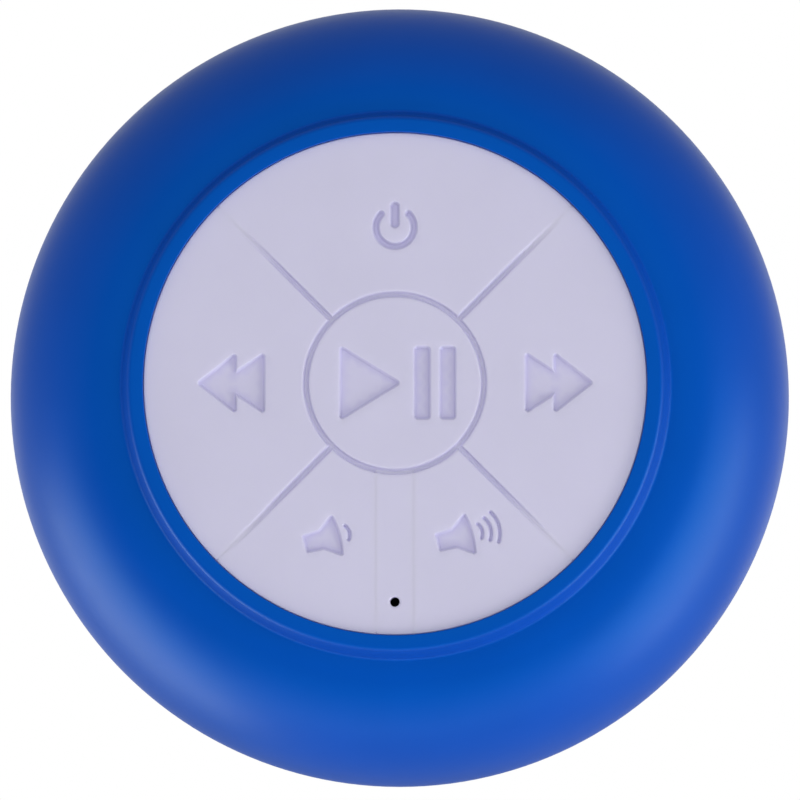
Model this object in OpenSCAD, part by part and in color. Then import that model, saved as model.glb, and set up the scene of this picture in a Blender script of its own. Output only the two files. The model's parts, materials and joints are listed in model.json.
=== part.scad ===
// Shower speaker: a round soft-touch case with a silicone keypad for a face, held to a smooth wall
// by a suction cup. The sound leaves through the rear, around the cup.
//
// Every sub-part is drawn with the wall at z = 0 and the face towards +z. on_wall() then turns it
// so that the wall is the plane y = 0, the face looks along -Y and the icons stand upright along +Z.

/* [Case] */
// Diameter of the case at its widest
case_d = 86; // [84:0.5:90]
// Height of the bezel's top above the wall
case_h = 55; // [54.5:0.1:56]
// Height of the widest plane above the wall
wide_z = 32.4; // [31.5:0.1:33]
// Height of the flat rear plate above the wall
rear_z = 13; // [12.5:0.1:13.2]
// Radius of the flat rear plate
rear_r = 30; // [29:0.5:31]
// Thickness of the moulded walls
wall_t = 2.4; // [2:0.1:2.6]
// Height of the joint between the front shell and the back cover
seam_z = 31.8; // [31.6:0.1:32]

/* [Bezel] */
// Outer radius of the raised ring around the keypad
bezel_r = 28.8; // [28.6:0.1:29.2]
// Height of the ring above the crease at its foot
bezel_h = 3; // [2.6:0.1:3.2]
// Radius of the ring's rounded outer shoulder
bezel_round = 0.7; // [0.4:0.1:0.8]
// Radius of the opening that the keys show through
lip_r = 26.7; // [26.5:0.1:26.8]

/* [Keypad] */
// Depth of the key faces below the top of the bezel
face_drop = 0.6; // [0.4:0.1:0.8]
// Thickness of the key pads
pad_t = 1.6; // [1.4:0.1:1.8]
// Travel of a key
key_travel = 0.5; // [0.3:0.1:0.5]
// Radius of the middle of the round groove about the centre key
ring_r = 9.43; // [9:0.1:10]
// Width of the grooves between the keys
groove_w = 0.66; // [0.5:0.05:0.9]
// Depth of the grooves between the keys
groove_depth = 0.45; // [0.3:0.05:0.6]
// Depth of the engraved icons
icon_depth = 0.4; // [0.2:0.05:0.6]
// Width of the fixed strip between the volume keys
strip_w = 4; // [3:0.5:5]
// Radius of the microphone hole
mic_hole_r = 0.51; // [0.4:0.05:0.7]
// Distance of the microphone hole from the centre of the face
mic_y = 23.2; // [22.8:0.1:23.3]

/* [Suction cup] */
// Outer radius of the cup's rim
cup_r = 30; // [28:0.5:32]
// Width of the flat lip that seals on the wall
cup_lip = 1.2; // [1:0.1:1.5]
// Depth of the hollow at the cup's centre
cup_hollow = 6.5; // [6:0.1:6.8]

/* [Speaker] */
// Number of sound slots in the rear plate
slot_count = 18; // [12:1:20]
// Width of a sound slot
slot_w = 1.8; // [1.2:0.1:2]
// Travel of the cone to each side of rest
cone_travel = 1; // [0.5:0.1:1]

/* [Charging port] */
// Height of the charging port's centre above the wall
port_z = 27.7; // [27.6:0.05:27.7]
// Width of the pocket that the port cover fills
pocket_w = 12.2; // [11.5:0.1:13]
// Height of the pocket that the port cover fills
pocket_h = 6.6; // [6.2:0.1:6.6]

/* [Battery] */
// Length of the battery
battery_l = 36; // [30:1:38]
// Width of the battery
battery_w = 26; // [20:1:28]
// Thickness of the battery
battery_t = 5; // [4:0.5:6]

/* [Hidden] */

$fn = 96;

// Small overlap that keeps a cut from ending on a face
eps = 0.2;
// Gap all round a key pad
key_gap = 0.05;
// Radial gap around a screw in its pilot hole, whose threads aren't drawn
thread_gap = 0.02;
// Straight steps in each quarter of the case's rounded outline
outline_steps = 14;

blue = [0.01, 0.27, 0.66];
lilac = [0.80, 0.79, 0.88];
black = [0.08, 0.08, 0.09];
steel = [0.70, 0.71, 0.73];
gold = [0.85, 0.68, 0.30];
board_green = [0.08, 0.32, 0.18];

// The case's outline
case_r = case_d / 2;
crease_z = case_h - bezel_h;
crease_r = bezel_r + 0.6;

// The keypad's levels
face_z = case_h - face_drop;
pad_z = face_z - pad_t;
pad_r = lip_r - 0.1;
web_z = pad_z - 1.4;
flange_r = bezel_r - 0.9;
skirt_r = pad_r - 0.6;
skirt_top = pad_z - key_travel - 0.1;
groove_z = face_z - groove_depth;
ring_in = ring_r - groove_w / 2;
ring_out = ring_r + groove_w / 2;

// The key board and its switches
board_t = 1.6;
key_board_z = crease_z - 3.8 - board_t;
key_board_top = key_board_z + board_t;
key_board_r = 32;
key_screw_ring = 30.2;
key_screw_r = 0.8;
key_screw_l = 4;
key_head_r = 1.6;
key_head_h = 1.1;
key_post_r = 1.7;
key_pilot_l = 2.6;
switch_w = 5.2;
switch_h = 3;
stem_r = 1.6;
stem_h = 0.7;
stem_well = 1;
stem_rise = 0.5;
stem_gap = 0.05;
switch_top = key_board_top + switch_h;
stem_top = switch_top + stem_h;
// The plunger stops half a key's travel above its switch, and presses it for the other half
plunger_z = stem_top + key_travel / 2;
plunger_r = 1.9;

// Where each key's icon stands, and its switch under it
power_at = [0, 16.5];
next_at = [17.4, 0];
previous_at = [-17.4, 0];
volume_down_at = [-8.2, -17];
volume_up_at = [8.2, -17];
switch_places = [[0, 0], power_at, previous_at, next_at, volume_down_at, volume_up_at];
volume_tilt = 15.5;
volume_down_foot = [-9.5, -17.1];
volume_up_foot = [4.55, -16.95];

// The microphone under its hole
mic_r = 2;
mic_h = 1.5;
boot_r = 2.6;
boot_channel_r = 0.8;

// The status light beside it
led_x = 4.4;
led_size = [1.6, 0.8, 0.6];

// The four long screws that close the case
post_ring = 35.2;
post_r = 2.8;
post_z = 23.2;
post_pilot_l = 8;
tower_r = 4.2;
head_seat_z = 20.2;
case_screw_r = 1.2;
case_screw_l = 10;
case_head_r = 2.2;
case_head_h = 1.4;
counterbore_r = 2.9;
screw_clearance = 0.15;
plug_gap = 0.02;
plug_top_z = head_seat_z - case_head_h - 0.2;

// The joint between the two halves of the case
spigot_r = 40.2;
spigot_t = 1.8;
spigot_root = seam_z - 2.6;
spigot_top = seam_z + 3.6;
seal_z = seam_z + 1.8;
seal_r = 0.5;
seal_groove = 0.8;
seal_groove_half = 0.6;
seal_squeeze = 0.1;

// The rear plate and the cup's fixing
rear_top = rear_z + wall_t;
hub_r = 9;
hub_wall = 1.2;
hub_gap = 0.2;
collar_h = 1.5;
stud_r = 2;
stud_disc_r = 6;
stud_disc_z = 8.2;
stud_disc_t = 1.2;
stud_end = rear_top + 2.2;
nut_across = 7;
nut_h = 2;
slot_in = 12;
slot_out = 19;

// The speaker, whose cone looks towards the rear plate
gasket_in = 20.4;
gasket_out = 22.6;
gasket_t = 0.8;
mesh_t = 0.3;
roll_r = 1.6;
roll_t = 0.4;
// At full travel the surround's roll stays this far off the cloth behind the slots
roll_clear = 0.5;
frame_z = rear_top + mesh_t + roll_clear + cone_travel + roll_r + roll_t / 2;
frame_t = 1;
frame_in = 18.9;
ear_ring = 24.4;
ear_r = 2.4;
ear_pilot_z = rear_z + 1.2;
speaker_screw_r = 0.88;
speaker_screw_l = 5;
speaker_head_r = 1.7;
speaker_head_h = 1.1;
cone_edge_r = 15.4;
cone_edge_z = frame_z;
cone_flat = 1;
neck_z = cone_edge_z + 5.6;
cone_t = 0.4;
former_r = 6.6;
former_t = 0.3;
coil_t = 0.3;
ledge_z = frame_z + 6;
ledge_in = 11;
basket_foot_r = 19.4;
basket_r = 13.2;
basket_t = 0.8;
basket_in = 7.6;
basket_top = frame_z + 9.8;
window_ring = 17.5;
window_z = frame_z + 2;
window_size = [8, 8, 3];
plate_r = 10.8;
plate_t = 1.8;
plate_in = 7.1;
magnet_in = 8.2;
magnet_r = 11;
magnet_t = 3.4;
pole_r = 6;
yoke_t = 2;
plate_top = basket_top + plate_t;
magnet_top = plate_top + magnet_t;
yoke_top = magnet_top + yoke_t;
coil_z = plate_top - plate_t / 2 - 1.8;
coil_h = 3.6;
cap_r = 7.4;
cap_rise = 2.3;
cap_t = 0.25;
spider_r = 12.3;
spider_t = 0.3;
ripple_pitch = 1.4;

// The main board, a ring round the magnet
main_z = basket_top + 0.2;
main_top = main_z + board_t;
main_in = 13.6;
main_out = 31.5;
main_screw_ring = 28;
main_screw_r = 1;
main_screw_l = 6;
main_head_r = 2;
main_head_h = 1.3;
main_screw_angles = [90, 210, 330];
main_post_r = 2.6;
main_pilot_l = 6.5;
tab_w = 13;
tab_y = 36.2;

// The charging socket, on the rear face of the main board
usb_w = 7.5;
usb_h = 2.6;
usb_l = 5.5;
usb_wall = 0.3;
usb_mouth = 36.6;
tongue_w = 4;
tongue_t = 0.7;
tongue_back = 1;
pocket_floor = 38.2;
floor_t = 1.4;
tunnel_w = 8.4;
tunnel_h = 3.4;
port_wall = 1.6;

// The port cover, a wedge of rubber between its flat back and the case's surface
cover_gap = 0.1;
cover_back = 41.1;
cover_boss_w = 9.6;
cover_boss_h = 4.2;
cover_boss_l = 1.8;

// The battery rests on the back of the magnet
pad_foam_t = 0.8;
pad_foam_w = 14;
battery_z = yoke_top + pad_foam_t;
wire_r = 0.6;
wire_bend = 2;
wire_y = 1.5;

// The two wires from the speaker's terminal to the main board
terminal_x = -21.5;
terminal_h = 0.8;
speaker_wire_r = 0.5;
speaker_wire_y = 2.5;

// The ribbon between the two boards
ribbon_x = 25.5;
ribbon_w = 8;
ribbon_t = 0.3;
connector_l = 3;
connector_h = 1.5;

// ---------------------------------------------------------------------------------------------
// Helpers

// Turns a piece from the drawing frame to its place on the wall.
module on_wall() {
    rotate([90, 0, 0]) children();
}

// Repeats a piece at angles about the case's axis, at a radius.
module around(radius, angles) {
    for (a = angles) rotate([0, 0, a]) translate([radius, 0, 0]) children();
}

// A tube between two heights.
module ring(r_in, r_out, z0, z1) {
    rotate_extrude() translate([r_in, z0]) square([r_out - r_in, z1 - z0]);
}

// A disc or pin between two heights.
module disc(r, z0, z1) {
    translate([0, 0, z0]) cylinder(r = r, h = z1 - z0);
}

// A block centred on x and y, between two heights.
module block(w, d, z0, z1) {
    translate([-w / 2, -d / 2, z0]) cube([w, d, z1 - z0]);
}

// A screw with a flat round head, its head's seat at z = 0, its point along -z.
module screw(shank_r, shank_l, head_r, head_h) {
    translate([0, 0, -shank_l]) cylinder(r = shank_r, h = shank_l + eps);
    cylinder(r = head_r, h = head_h);
}

// A flat outline with round ends, w wide and h high.
module stadium(w, h) {
    square([w - h, h], center = true);
    for (side = [-1, 1]) translate([side * (w - h) / 2, 0]) circle(r = h / 2);
}

// One quarter of the case's outline, from its widest point to the foot of the flat, moved inwards.
function quarter(foot_r, foot_z, inset) = [
    for (i = [1 : outline_steps])
        let (a = 90 * i / outline_steps, rise = abs(foot_z - wide_z) - inset)
        [
            foot_r + (case_r - inset - foot_r) * cos(a),
            wide_z + sign(foot_z - wide_z) * rise * sin(a)
        ]
];

function backwards(points) = [for (i = [len(points) - 1 : -1 : 0]) points[i]];

// Half of the case's section, without the bezel, moved inwards.
module case_section(inset) {
    polygon(concat(
        [[case_r - inset, wide_z]],
        quarter(crease_r, crease_z, inset),
        [[0, crease_z - inset], [0, rear_z + inset]],
        backwards(quarter(rear_r, rear_z, inset))
    ));
}

// The whole case as one solid, moved inwards.
module case_solid(inset) {
    rotate_extrude() case_section(inset);
}

// ---------------------------------------------------------------------------------------------
// Icons, as flat outlines

// A line along an arc about the origin, with round ends a little narrower than the line.
module arc_stroke(radius, from, to, w) {
    steps = 12;
    end_r = 0.46 * w;
    intersection() {
        difference() {
            circle(r = radius + w / 2);
            circle(r = radius - w / 2);
        }
        polygon(concat(
            [[0, 0]],
            [for (i = [0 : steps]) let (a = from + (to - from) * i / steps)
                2 * radius * [cos(a), sin(a)]]
        ));
    }
    for (a = [from, to]) translate(radius * [cos(a), sin(a)]) circle(r = end_r);
}

// A triangle pointing along +x, its tip at the origin.
module arrow_head(length, half_h) {
    polygon([[0, 0], [-length, half_h], [-length, -half_h]]);
}

// A triangle and two bars.
module play_icon() {
    bar_w = 1.5;
    tall = 7.6;
    translate([0.4, 0]) arrow_head(6.4, tall / 2);
    for (x = [2.2, 4.9]) translate([x, -tall / 2]) square([bar_w, tall]);
}

// A broken ring with a bar through its gap.
module power_icon() {
    ring_mid = 2.05;
    translate(power_at) {
        arc_stroke(ring_mid, 136, 405, 0.7);
        translate([0, 1.3]) rotate([0, 0, 90]) stadium(2.8, 0.94);
    }
}

// Two triangles pointing away from the centre, for the key on the right.
module next_icon() {
    for (tip = [17.9, 20.9]) translate([tip, 0]) arrow_head(4, 3.15);
}

// A loudspeaker with sound waves, its back edge on the origin.
module volume_icon(waves) {
    back_h = 0.88;
    waist = [1.8, 0.97];
    mouth = [3.53, 2.19];
    bulge = 0.27;
    bulge_r = (mouth[1] ^ 2 + bulge ^ 2) / (2 * bulge);
    polygon([
        [0, back_h], waist, mouth,
        [mouth[0], -mouth[1]], [waist[0], -waist[1]], [0, -back_h]
    ]);
    intersection() {
        translate([mouth[0] + bulge - bulge_r, 0]) circle(r = bulge_r);
        translate([mouth[0], -mouth[1]]) square([1, 2 * mouth[1]]);
    }
    for (k = [0 : waves - 1]) {
        half_h = 0.85 + 0.435 * k;
        sagitta = 0.27 + 0.1 * k;
        wave_r = (half_h ^ 2 + sagitta ^ 2) / (2 * sagitta);
        reach = asin(half_h / wave_r);
        translate([4.85 + 0.92 * k - wave_r, 0]) arc_stroke(wave_r, -reach, reach, 0.34);
    }
}

module volume_down_icon() {
    translate(volume_down_foot) rotate([0, 0, volume_tilt]) volume_icon(1);
}

module volume_up_icon() {
    translate(volume_up_foot) rotate([0, 0, volume_tilt]) volume_icon(3);
}

// ---------------------------------------------------------------------------------------------
// Case

// Section of the raised ring, with its shoulder rounded on the outside.
module bezel_section() {
    flat_r = bezel_r - bezel_round;
    shoulder_z = case_h - bezel_round;
    root = 1.5;
    translate([flange_r + key_gap, crease_z - root])
        square([bezel_r - flange_r - key_gap, shoulder_z - crease_z + root]);
    translate([lip_r, pad_z]) square([flat_r - lip_r, case_h - pad_z]);
    translate([lip_r, pad_z]) square([bezel_r - lip_r, shoulder_z - pad_z]);
    translate([flat_r, shoulder_z]) circle(r = bezel_round);
}

module front_shell() {
    color(blue) difference() {
        union() {
            rotate_extrude() {
                difference() {
                    case_section(0);
                    case_section(wall_t);
                    square([case_d, seam_z]);
                    square([flange_r + key_gap, case_h]);
                }
                bezel_section();
            }
            intersection() {
                around(post_ring, [45 : 90 : 315]) disc(post_r, post_z, case_h);
                case_solid(wall_t / 2);
            }
            around(key_screw_ring, [0 : 90 : 270]) disc(key_post_r, key_board_top, crease_z - 1.6);
        }
        around(post_ring, [45 : 90 : 315])
            disc(case_screw_r + thread_gap, post_z - eps, post_z + post_pilot_l);
        around(key_screw_ring, [0 : 90 : 270])
            disc(key_screw_r + thread_gap, key_board_top - eps, key_board_top + key_pilot_l);
    }
}

// The pocket and tunnel that lead to the charging socket, cut along -y.
module port_cut() {
    rotate([90, 0, 0]) {
        translate([0, port_z, pocket_floor]) linear_extrude(case_r) stadium(pocket_w, pocket_h);
        translate([0, port_z, 0]) linear_extrude(case_r) stadium(tunnel_w, tunnel_h);
    }
}

// Thicker wall around the pocket, and behind its floor.
module port_block() {
    block_w = pocket_w + 2 * port_wall;
    low_z = port_z - pocket_h / 2 - port_wall;
    intersection() {
        case_solid(wall_t / 4);
        translate([-block_w / 2, -case_r, low_z])
            cube([block_w, case_r - pocket_floor + floor_t, seam_z - low_z]);
    }
}

module sound_slots() {
    for (i = [0 : slot_count - 1]) rotate([0, 0, 360 * i / slot_count])
        translate([(slot_in + slot_out) / 2, 0, rear_z - eps])
            linear_extrude(wall_t + 2 * eps) stadium(slot_out - slot_in, slot_w);
}

module back_cover() {
    color(blue) difference() {
        union() {
            rotate_extrude() {
                difference() {
                    case_section(0);
                    case_section(wall_t);
                    translate([0, seam_z]) square([case_d, case_h]);
                }
                // Spigot that enters the front shell
                translate([spigot_r - spigot_t, spigot_root])
                    square([spigot_t, spigot_top - spigot_root]);
                // Seat of the speaker
                translate([gasket_in, rear_top - eps])
                    square([gasket_out - gasket_in, frame_z - gasket_t - rear_top + eps]);
                // Collar around the hub of the suction cup
                translate([hub_r + hub_gap, rear_z - collar_h])
                    square([hub_wall, collar_h + eps]);
            }
            intersection() {
                around(post_ring, [45 : 90 : 315]) disc(tower_r, rear_z, post_z);
                case_solid(wall_t / 4);
            }
            around(main_screw_ring, main_screw_angles)
                disc(main_post_r, rear_top - eps, main_z);
            around(ear_ring, [45 : 90 : 315]) disc(ear_r, rear_top - eps, frame_z);
            port_block();
        }
        ring(
            spigot_r - seal_groove, case_r,
            seal_z - seal_groove_half, seal_z + seal_groove_half
        );
        sound_slots();
        disc(stud_r + screw_clearance, rear_z - collar_h, rear_top + eps);
        around(post_ring, [45 : 90 : 315]) {
            disc(counterbore_r, rear_z - eps, head_seat_z);
            disc(case_screw_r + screw_clearance, rear_z, post_z + eps);
        }
        around(main_screw_ring, main_screw_angles)
            disc(main_screw_r + thread_gap, main_z - main_pilot_l, main_z + eps);
        around(ear_ring, [45 : 90 : 315])
            disc(speaker_screw_r + thread_gap, ear_pilot_z, frame_z + eps);
        port_cut();
    }
}

// Rubber ring in the groove of the joint.
module body_seal() {
    color(black) rotate_extrude()
        translate([spigot_r - seal_groove + seal_r + seal_squeeze, seal_z]) circle(r = seal_r);
}

module case_screws() {
    color(steel) around(post_ring, [45 : 90 : 315])
        translate([0, 0, head_seat_z]) rotate([180, 0, 0])
            screw(case_screw_r, case_screw_l, case_head_r, case_head_h);
}

// Soft plugs that close the four screw holes, flush with the case.
module screw_plugs() {
    color(blue) intersection() {
        around(post_ring, [45 : 90 : 315]) disc(counterbore_r - plug_gap, rear_z, plug_top_z);
        case_solid(0);
    }
}

// ---------------------------------------------------------------------------------------------
// Keypad

// Everything that stays put: the clamped rim, the floors of the grooves and the microphone strip.
module keypad_web() {
    color(lilac) difference() {
        union() {
            ring(skirt_r, flange_r, key_board_top, skirt_top);
            ring(lip_r - 0.05, flange_r, key_board_top, pad_z);
            ring(ring_in, ring_out, web_z, groove_z);
            translate([0, 0, web_z]) linear_extrude(groove_z - web_z) intersection() {
                difference() {
                    circle(r = pad_r);
                    circle(r = ring_r);
                }
                for (a = [45, 135]) rotate([0, 0, a]) square([2 * case_r, groove_w], center = true);
            }
            translate([0, 0, web_z]) linear_extrude(face_z - web_z) intersection() {
                difference() {
                    circle(r = pad_r);
                    circle(r = ring_r);
                }
                translate([-strip_w / 2, -case_r]) square([strip_w, case_r]);
            }
        }
        translate([0, -mic_y, 0]) disc(mic_hole_r, web_z - eps, face_z + eps);
    }
}

// Outline of the pad that fills one quarter of the face, about the direction +y.
module quarter_pad() {
    shift = (groove_w / 2 + key_gap) * sqrt(2);
    intersection() {
        difference() {
            circle(r = pad_r);
            circle(r = ring_out + key_gap);
        }
        polygon([[0, shift], [case_r, case_r + shift], [-case_r, case_r + shift]]);
    }
}

// A pad with its icon engraved and a plunger over its switch. The outline comes first, then the icon.
module key(plunger_at) {
    color(lilac) difference() {
        union() {
            translate([0, 0, pad_z]) linear_extrude(pad_t) children(0);
            translate(plunger_at) disc(plunger_r, plunger_z, pad_z + eps);
        }
        translate([0, 0, face_z - icon_depth]) linear_extrude(icon_depth + eps) children(1);
    }
}

module key_play() {
    key([0, 0]) {
        circle(r = ring_in - key_gap);
        play_icon();
    }
}

module key_power() {
    key(power_at) {
        quarter_pad();
        power_icon();
    }
}

module key_next() {
    key(next_at) {
        rotate([0, 0, -90]) quarter_pad();
        next_icon();
    }
}

module key_previous() {
    key(previous_at) {
        rotate([0, 0, 90]) quarter_pad();
        mirror([1, 0]) next_icon();
    }
}

// Half of the lower quarter, on the side given by -1 or 1, beside the microphone strip.
module half_quarter_pad(side) {
    intersection() {
        rotate([0, 0, 180]) quarter_pad();
        translate([side * (strip_w / 2 + key_gap + case_r / 2), -case_r / 2])
            square([case_r, case_r], center = true);
    }
}

module key_volume_down() {
    key(volume_down_at) {
        half_quarter_pad(-1);
        volume_down_icon();
    }
}

module key_volume_up() {
    key(volume_up_at) {
        half_quarter_pad(1);
        volume_up_icon();
    }
}

module key_board() {
    color(board_green) difference() {
        disc(key_board_r, key_board_z, key_board_top);
        around(key_screw_ring, [0 : 90 : 270])
            disc(key_screw_r + 0.1, key_board_z - eps, key_board_top + eps);
    }
}

module key_board_screws() {
    color(steel) around(key_screw_ring, [0 : 90 : 270])
        translate([0, 0, key_board_z]) rotate([180, 0, 0])
            screw(key_screw_r, key_screw_l, key_head_r, key_head_h);
}

module switch_cases() {
    color(black) for (p = switch_places) translate(p) difference() {
        block(switch_w, switch_w, key_board_top, switch_top);
        disc(stem_r + stem_gap, switch_top - stem_well, switch_top + eps);
    }
}

// The pin of a switch, clear of the bottom of its well.
module switch_stem(place) {
    color(gold) translate(place) disc(stem_r, switch_top - stem_well + stem_rise, stem_top);
}

module stem_play() { switch_stem([0, 0]); }
module stem_power() { switch_stem(power_at); }
module stem_previous() { switch_stem(previous_at); }
module stem_next() { switch_stem(next_at); }
module stem_volume_down() { switch_stem(volume_down_at); }
module stem_volume_up() { switch_stem(volume_up_at); }

module microphone() {
    color(steel) translate([0, -mic_y, 0]) disc(mic_r, key_board_top, key_board_top + mic_h);
}

// Rubber boot that leads the sound from the hole to the microphone.
module mic_boot() {
    color(black) translate([0, -mic_y, 0]) difference() {
        disc(boot_r, key_board_top, web_z);
        disc(mic_r, key_board_top - eps, key_board_top + mic_h);
        disc(boot_channel_r, key_board_top, web_z + eps);
    }
}

module status_led() {
    color("white") translate([led_x, -mic_y, 0])
        block(led_size[0], led_size[1], key_board_top, key_board_top + led_size[2]);
}

// ---------------------------------------------------------------------------------------------
// Electronics

module ribbon_connectors() {
    color(black) {
        translate([ribbon_x, 0, 0])
            block(connector_l, ribbon_w + 1, key_board_z - connector_h, key_board_z);
        translate([ribbon_x, 0, 0])
            block(connector_l, ribbon_w + 1, main_top, main_top + connector_h);
    }
}

module ribbon_cable() {
    color("white") translate([ribbon_x, 0, 0])
        block(ribbon_t, ribbon_w, main_top + connector_h, key_board_z - connector_h);
}

module main_board() {
    color(board_green) difference() {
        union() {
            ring(main_in, main_out, main_z, main_top);
            translate([-tab_w / 2, -tab_y, main_z]) cube([tab_w, tab_y - main_out + 2, board_t]);
        }
        around(main_screw_ring, main_screw_angles)
            disc(main_screw_r + 0.1, main_z - eps, main_top + eps);
    }
}

module main_board_screws() {
    color(steel) around(main_screw_ring, main_screw_angles)
        translate([0, 0, main_top])
            screw(main_screw_r, main_screw_l, main_head_r, main_head_h);
}

module bluetooth_chip() {
    color(black) around(22, [225]) block(7, 7, main_top, main_top + 0.9);
}

module amplifier_chip() {
    color(black) around(22, [310]) block(4, 5, main_top, main_top + 1.5);
}

// Capacitors, coils and small blocks on the front of the main board.
module board_parts() {
    color("silver") around(21.5, [55, 70]) disc(2.4, main_top, main_top + 4.6);
    color("dimgray") around(22, [110, 128]) block(4.5, 4.5, main_top, main_top + 2.6);
    color("tan") for (i = [0 : 7]) around(i % 2 == 0 ? 17.5 : 26.5, [243 + 7 * i])
        block(1.6, 0.8, main_top, main_top + 0.8);
    color("silver") around(24, [202]) block(3.2, 2.5, main_top, main_top + 0.8);
}

module usb_socket() {
    color(steel) translate([0, -usb_mouth, main_z - usb_h]) difference() {
        translate([-usb_w / 2, 0, 0]) cube([usb_w, usb_l, usb_h]);
        translate([-usb_w / 2 + usb_wall, -eps, usb_wall])
            cube([usb_w - 2 * usb_wall, usb_l - usb_wall + eps, usb_h - 2 * usb_wall]);
    }
}

// Tongue with the contacts, inside the socket.
module usb_tongue() {
    color(black) translate([-tongue_w / 2, tongue_back - usb_mouth, port_z - tongue_t / 2])
        cube([tongue_w, usb_l - usb_wall - tongue_back, tongue_t]);
}

module battery() {
    color([0.55, 0.62, 0.72]) block(battery_l, battery_w, battery_z, battery_z + battery_t);
}

// Foam tape between the magnet and the battery.
module battery_pad() {
    color(black) block(pad_foam_w, pad_foam_w, yoke_top, battery_z);
}

// A wire that leaves the battery's end and bends down to the main board.
module battery_wire(y) {
    exit_l = 0.6;
    exit_z = battery_z + battery_t / 2;
    translate([-battery_l / 2 - exit_l, y, exit_z]) {
        rotate([0, 90, 0]) cylinder(r = wire_r, h = exit_l);
        translate([0, 0, -wire_bend]) rotate([90, 0, 180]) rotate_extrude(angle = 90)
            translate([wire_bend, 0]) circle(r = wire_r);
    }
    translate([-battery_l / 2 - exit_l - wire_bend, y, 0])
        disc(wire_r, main_top, exit_z - wire_bend);
}

module battery_wires() {
    color("red") battery_wire(wire_y);
    color("black") battery_wire(-wire_y);
}

// ---------------------------------------------------------------------------------------------
// Speaker

// Pressed steel basket with four ears and six windows.
module speaker_frame() {
    color(steel) difference() {
        union() {
            rotate_extrude() {
                translate([frame_in, frame_z]) square([gasket_out - frame_in, frame_t]);
                polygon([
                    [basket_foot_r, frame_z + frame_t],
                    [basket_foot_r + basket_t, frame_z + frame_t],
                    [basket_r, ledge_z],
                    [basket_r - basket_t, ledge_z]
                ]);
                translate([ledge_in, ledge_z]) square([basket_r - ledge_in, basket_t]);
                translate([basket_r - basket_t, ledge_z])
                    square([basket_t, basket_top - ledge_z]);
                translate([basket_in, basket_top - basket_t])
                    square([basket_r - basket_in, basket_t]);
            }
            around(ear_ring, [45 : 90 : 315]) difference() {
                disc(ear_r, frame_z, frame_z + frame_t);
                translate([-ear_ring, 0, 0])
                    disc(gasket_out - 0.5, frame_z - eps, frame_z + frame_t + eps);
            }
        }
        around(ear_ring, [45 : 90 : 315])
            disc(speaker_screw_r + 0.1, frame_z - eps, frame_z + frame_t + eps);
        around(window_ring, [30 : 60 : 330])
            block(window_size[0], window_size[1], window_z, window_z + window_size[2]);
    }
}

module speaker_terminal() {
    color(gold) translate([terminal_x, 0, 0])
        block(2, 8, frame_z + frame_t, frame_z + frame_t + terminal_h);
}

module speaker_wires() {
    z0 = frame_z + frame_t + terminal_h;
    color("red") translate([terminal_x, speaker_wire_y, 0]) disc(speaker_wire_r, z0, main_z);
    color("black") translate([terminal_x, -speaker_wire_y, 0]) disc(speaker_wire_r, z0, main_z);
}

module top_plate() {
    color(steel) ring(plate_in, plate_r, basket_top, plate_top);
}

module magnet() {
    color([0.22, 0.22, 0.23]) ring(magnet_in, magnet_r, plate_top, magnet_top);
}

// Back plate with the pole in one piece.
module yoke() {
    color(steel) union() {
        disc(plate_r, magnet_top, yoke_top);
        disc(pole_r, basket_top, magnet_top + eps);
    }
}

// Corrugated cloth disc that centres the coil.
module spider() {
    spider_z = ledge_z + basket_t;
    color([0.80, 0.62, 0.30]) rotate_extrude() {
        translate([former_r, spider_z]) square([spider_r - former_r, spider_t]);
        for (r = [8 : ripple_pitch : 11]) translate([r, spider_z])
            square([ripple_pitch / 2, 2 * spider_t]);
    }
}

// Rubber half roll between the cone's edge and the frame.
module surround() {
    mid_r = (cone_edge_r + frame_in) / 2 - 0.05;
    roll_in = roll_r - roll_t / 2;
    roll_out = roll_r + roll_t / 2;
    foot_r = gasket_in - eps;
    lip_z = frame_z - roll_t;
    glue_r = cone_edge_r - cone_flat;
    color(black) rotate_extrude() {
        translate([mid_r + roll_in, lip_z]) square([foot_r - mid_r - roll_in, roll_t]);
        translate([glue_r, lip_z]) square([mid_r - roll_in - glue_r, roll_t]);
        intersection() {
            translate([mid_r, frame_z]) difference() {
                circle(r = roll_out);
                circle(r = roll_in);
            }
            translate([mid_r - roll_out, frame_z - roll_out]) square([2 * roll_out, roll_out]);
        }
    }
}

// Paper cone, wide at the rear of the case and narrow at the coil.
module cone() {
    color([0.18, 0.18, 0.19]) rotate_extrude() polygon([
        [cone_edge_r, cone_edge_z],
        [cone_edge_r, cone_edge_z + cone_t],
        [cone_edge_r - cone_flat, cone_edge_z + cone_t],
        [former_r, neck_z + cone_t],
        [former_r, neck_z],
        [cone_edge_r - cone_flat, cone_edge_z]
    ]);
}

// Thin dome over the coil, bulging towards the rear.
module dust_cap() {
    sphere_r = (cap_r ^ 2 + cap_rise ^ 2) / (2 * cap_rise);
    slope = (neck_z - cone_edge_z) / (cone_edge_r - cone_flat - former_r);
    cap_z = neck_z - slope * (cap_r - former_r) - 0.02;
    color([0.12, 0.12, 0.13]) rotate_extrude() intersection() {
        translate([0, cap_z - cap_rise + sphere_r]) difference() {
            circle(r = sphere_r);
            circle(r = sphere_r - cap_t);
        }
        translate([0, cap_z - cap_rise - 1]) square([cap_r + 1, cap_rise + 1]);
    }
}

// Former with the copper winding in the magnet's gap.
module voice_coil() {
    color([0.72, 0.42, 0.22]) union() {
        ring(former_r - former_t, former_r, neck_z - 0.2, coil_z + coil_h);
        ring(former_r - former_t / 2, former_r + coil_t, coil_z, coil_z + coil_h);
    }
}

// Foam ring between the seat and the frame, notched round the four posts for the ears.
module speaker_gasket() {
    color(black) difference() {
        ring(gasket_in, gasket_out, frame_z - gasket_t, frame_z);
        around(ear_ring, [45 : 90 : 315])
            disc(ear_r + key_gap, frame_z - gasket_t - eps, frame_z + eps);
    }
}

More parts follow.
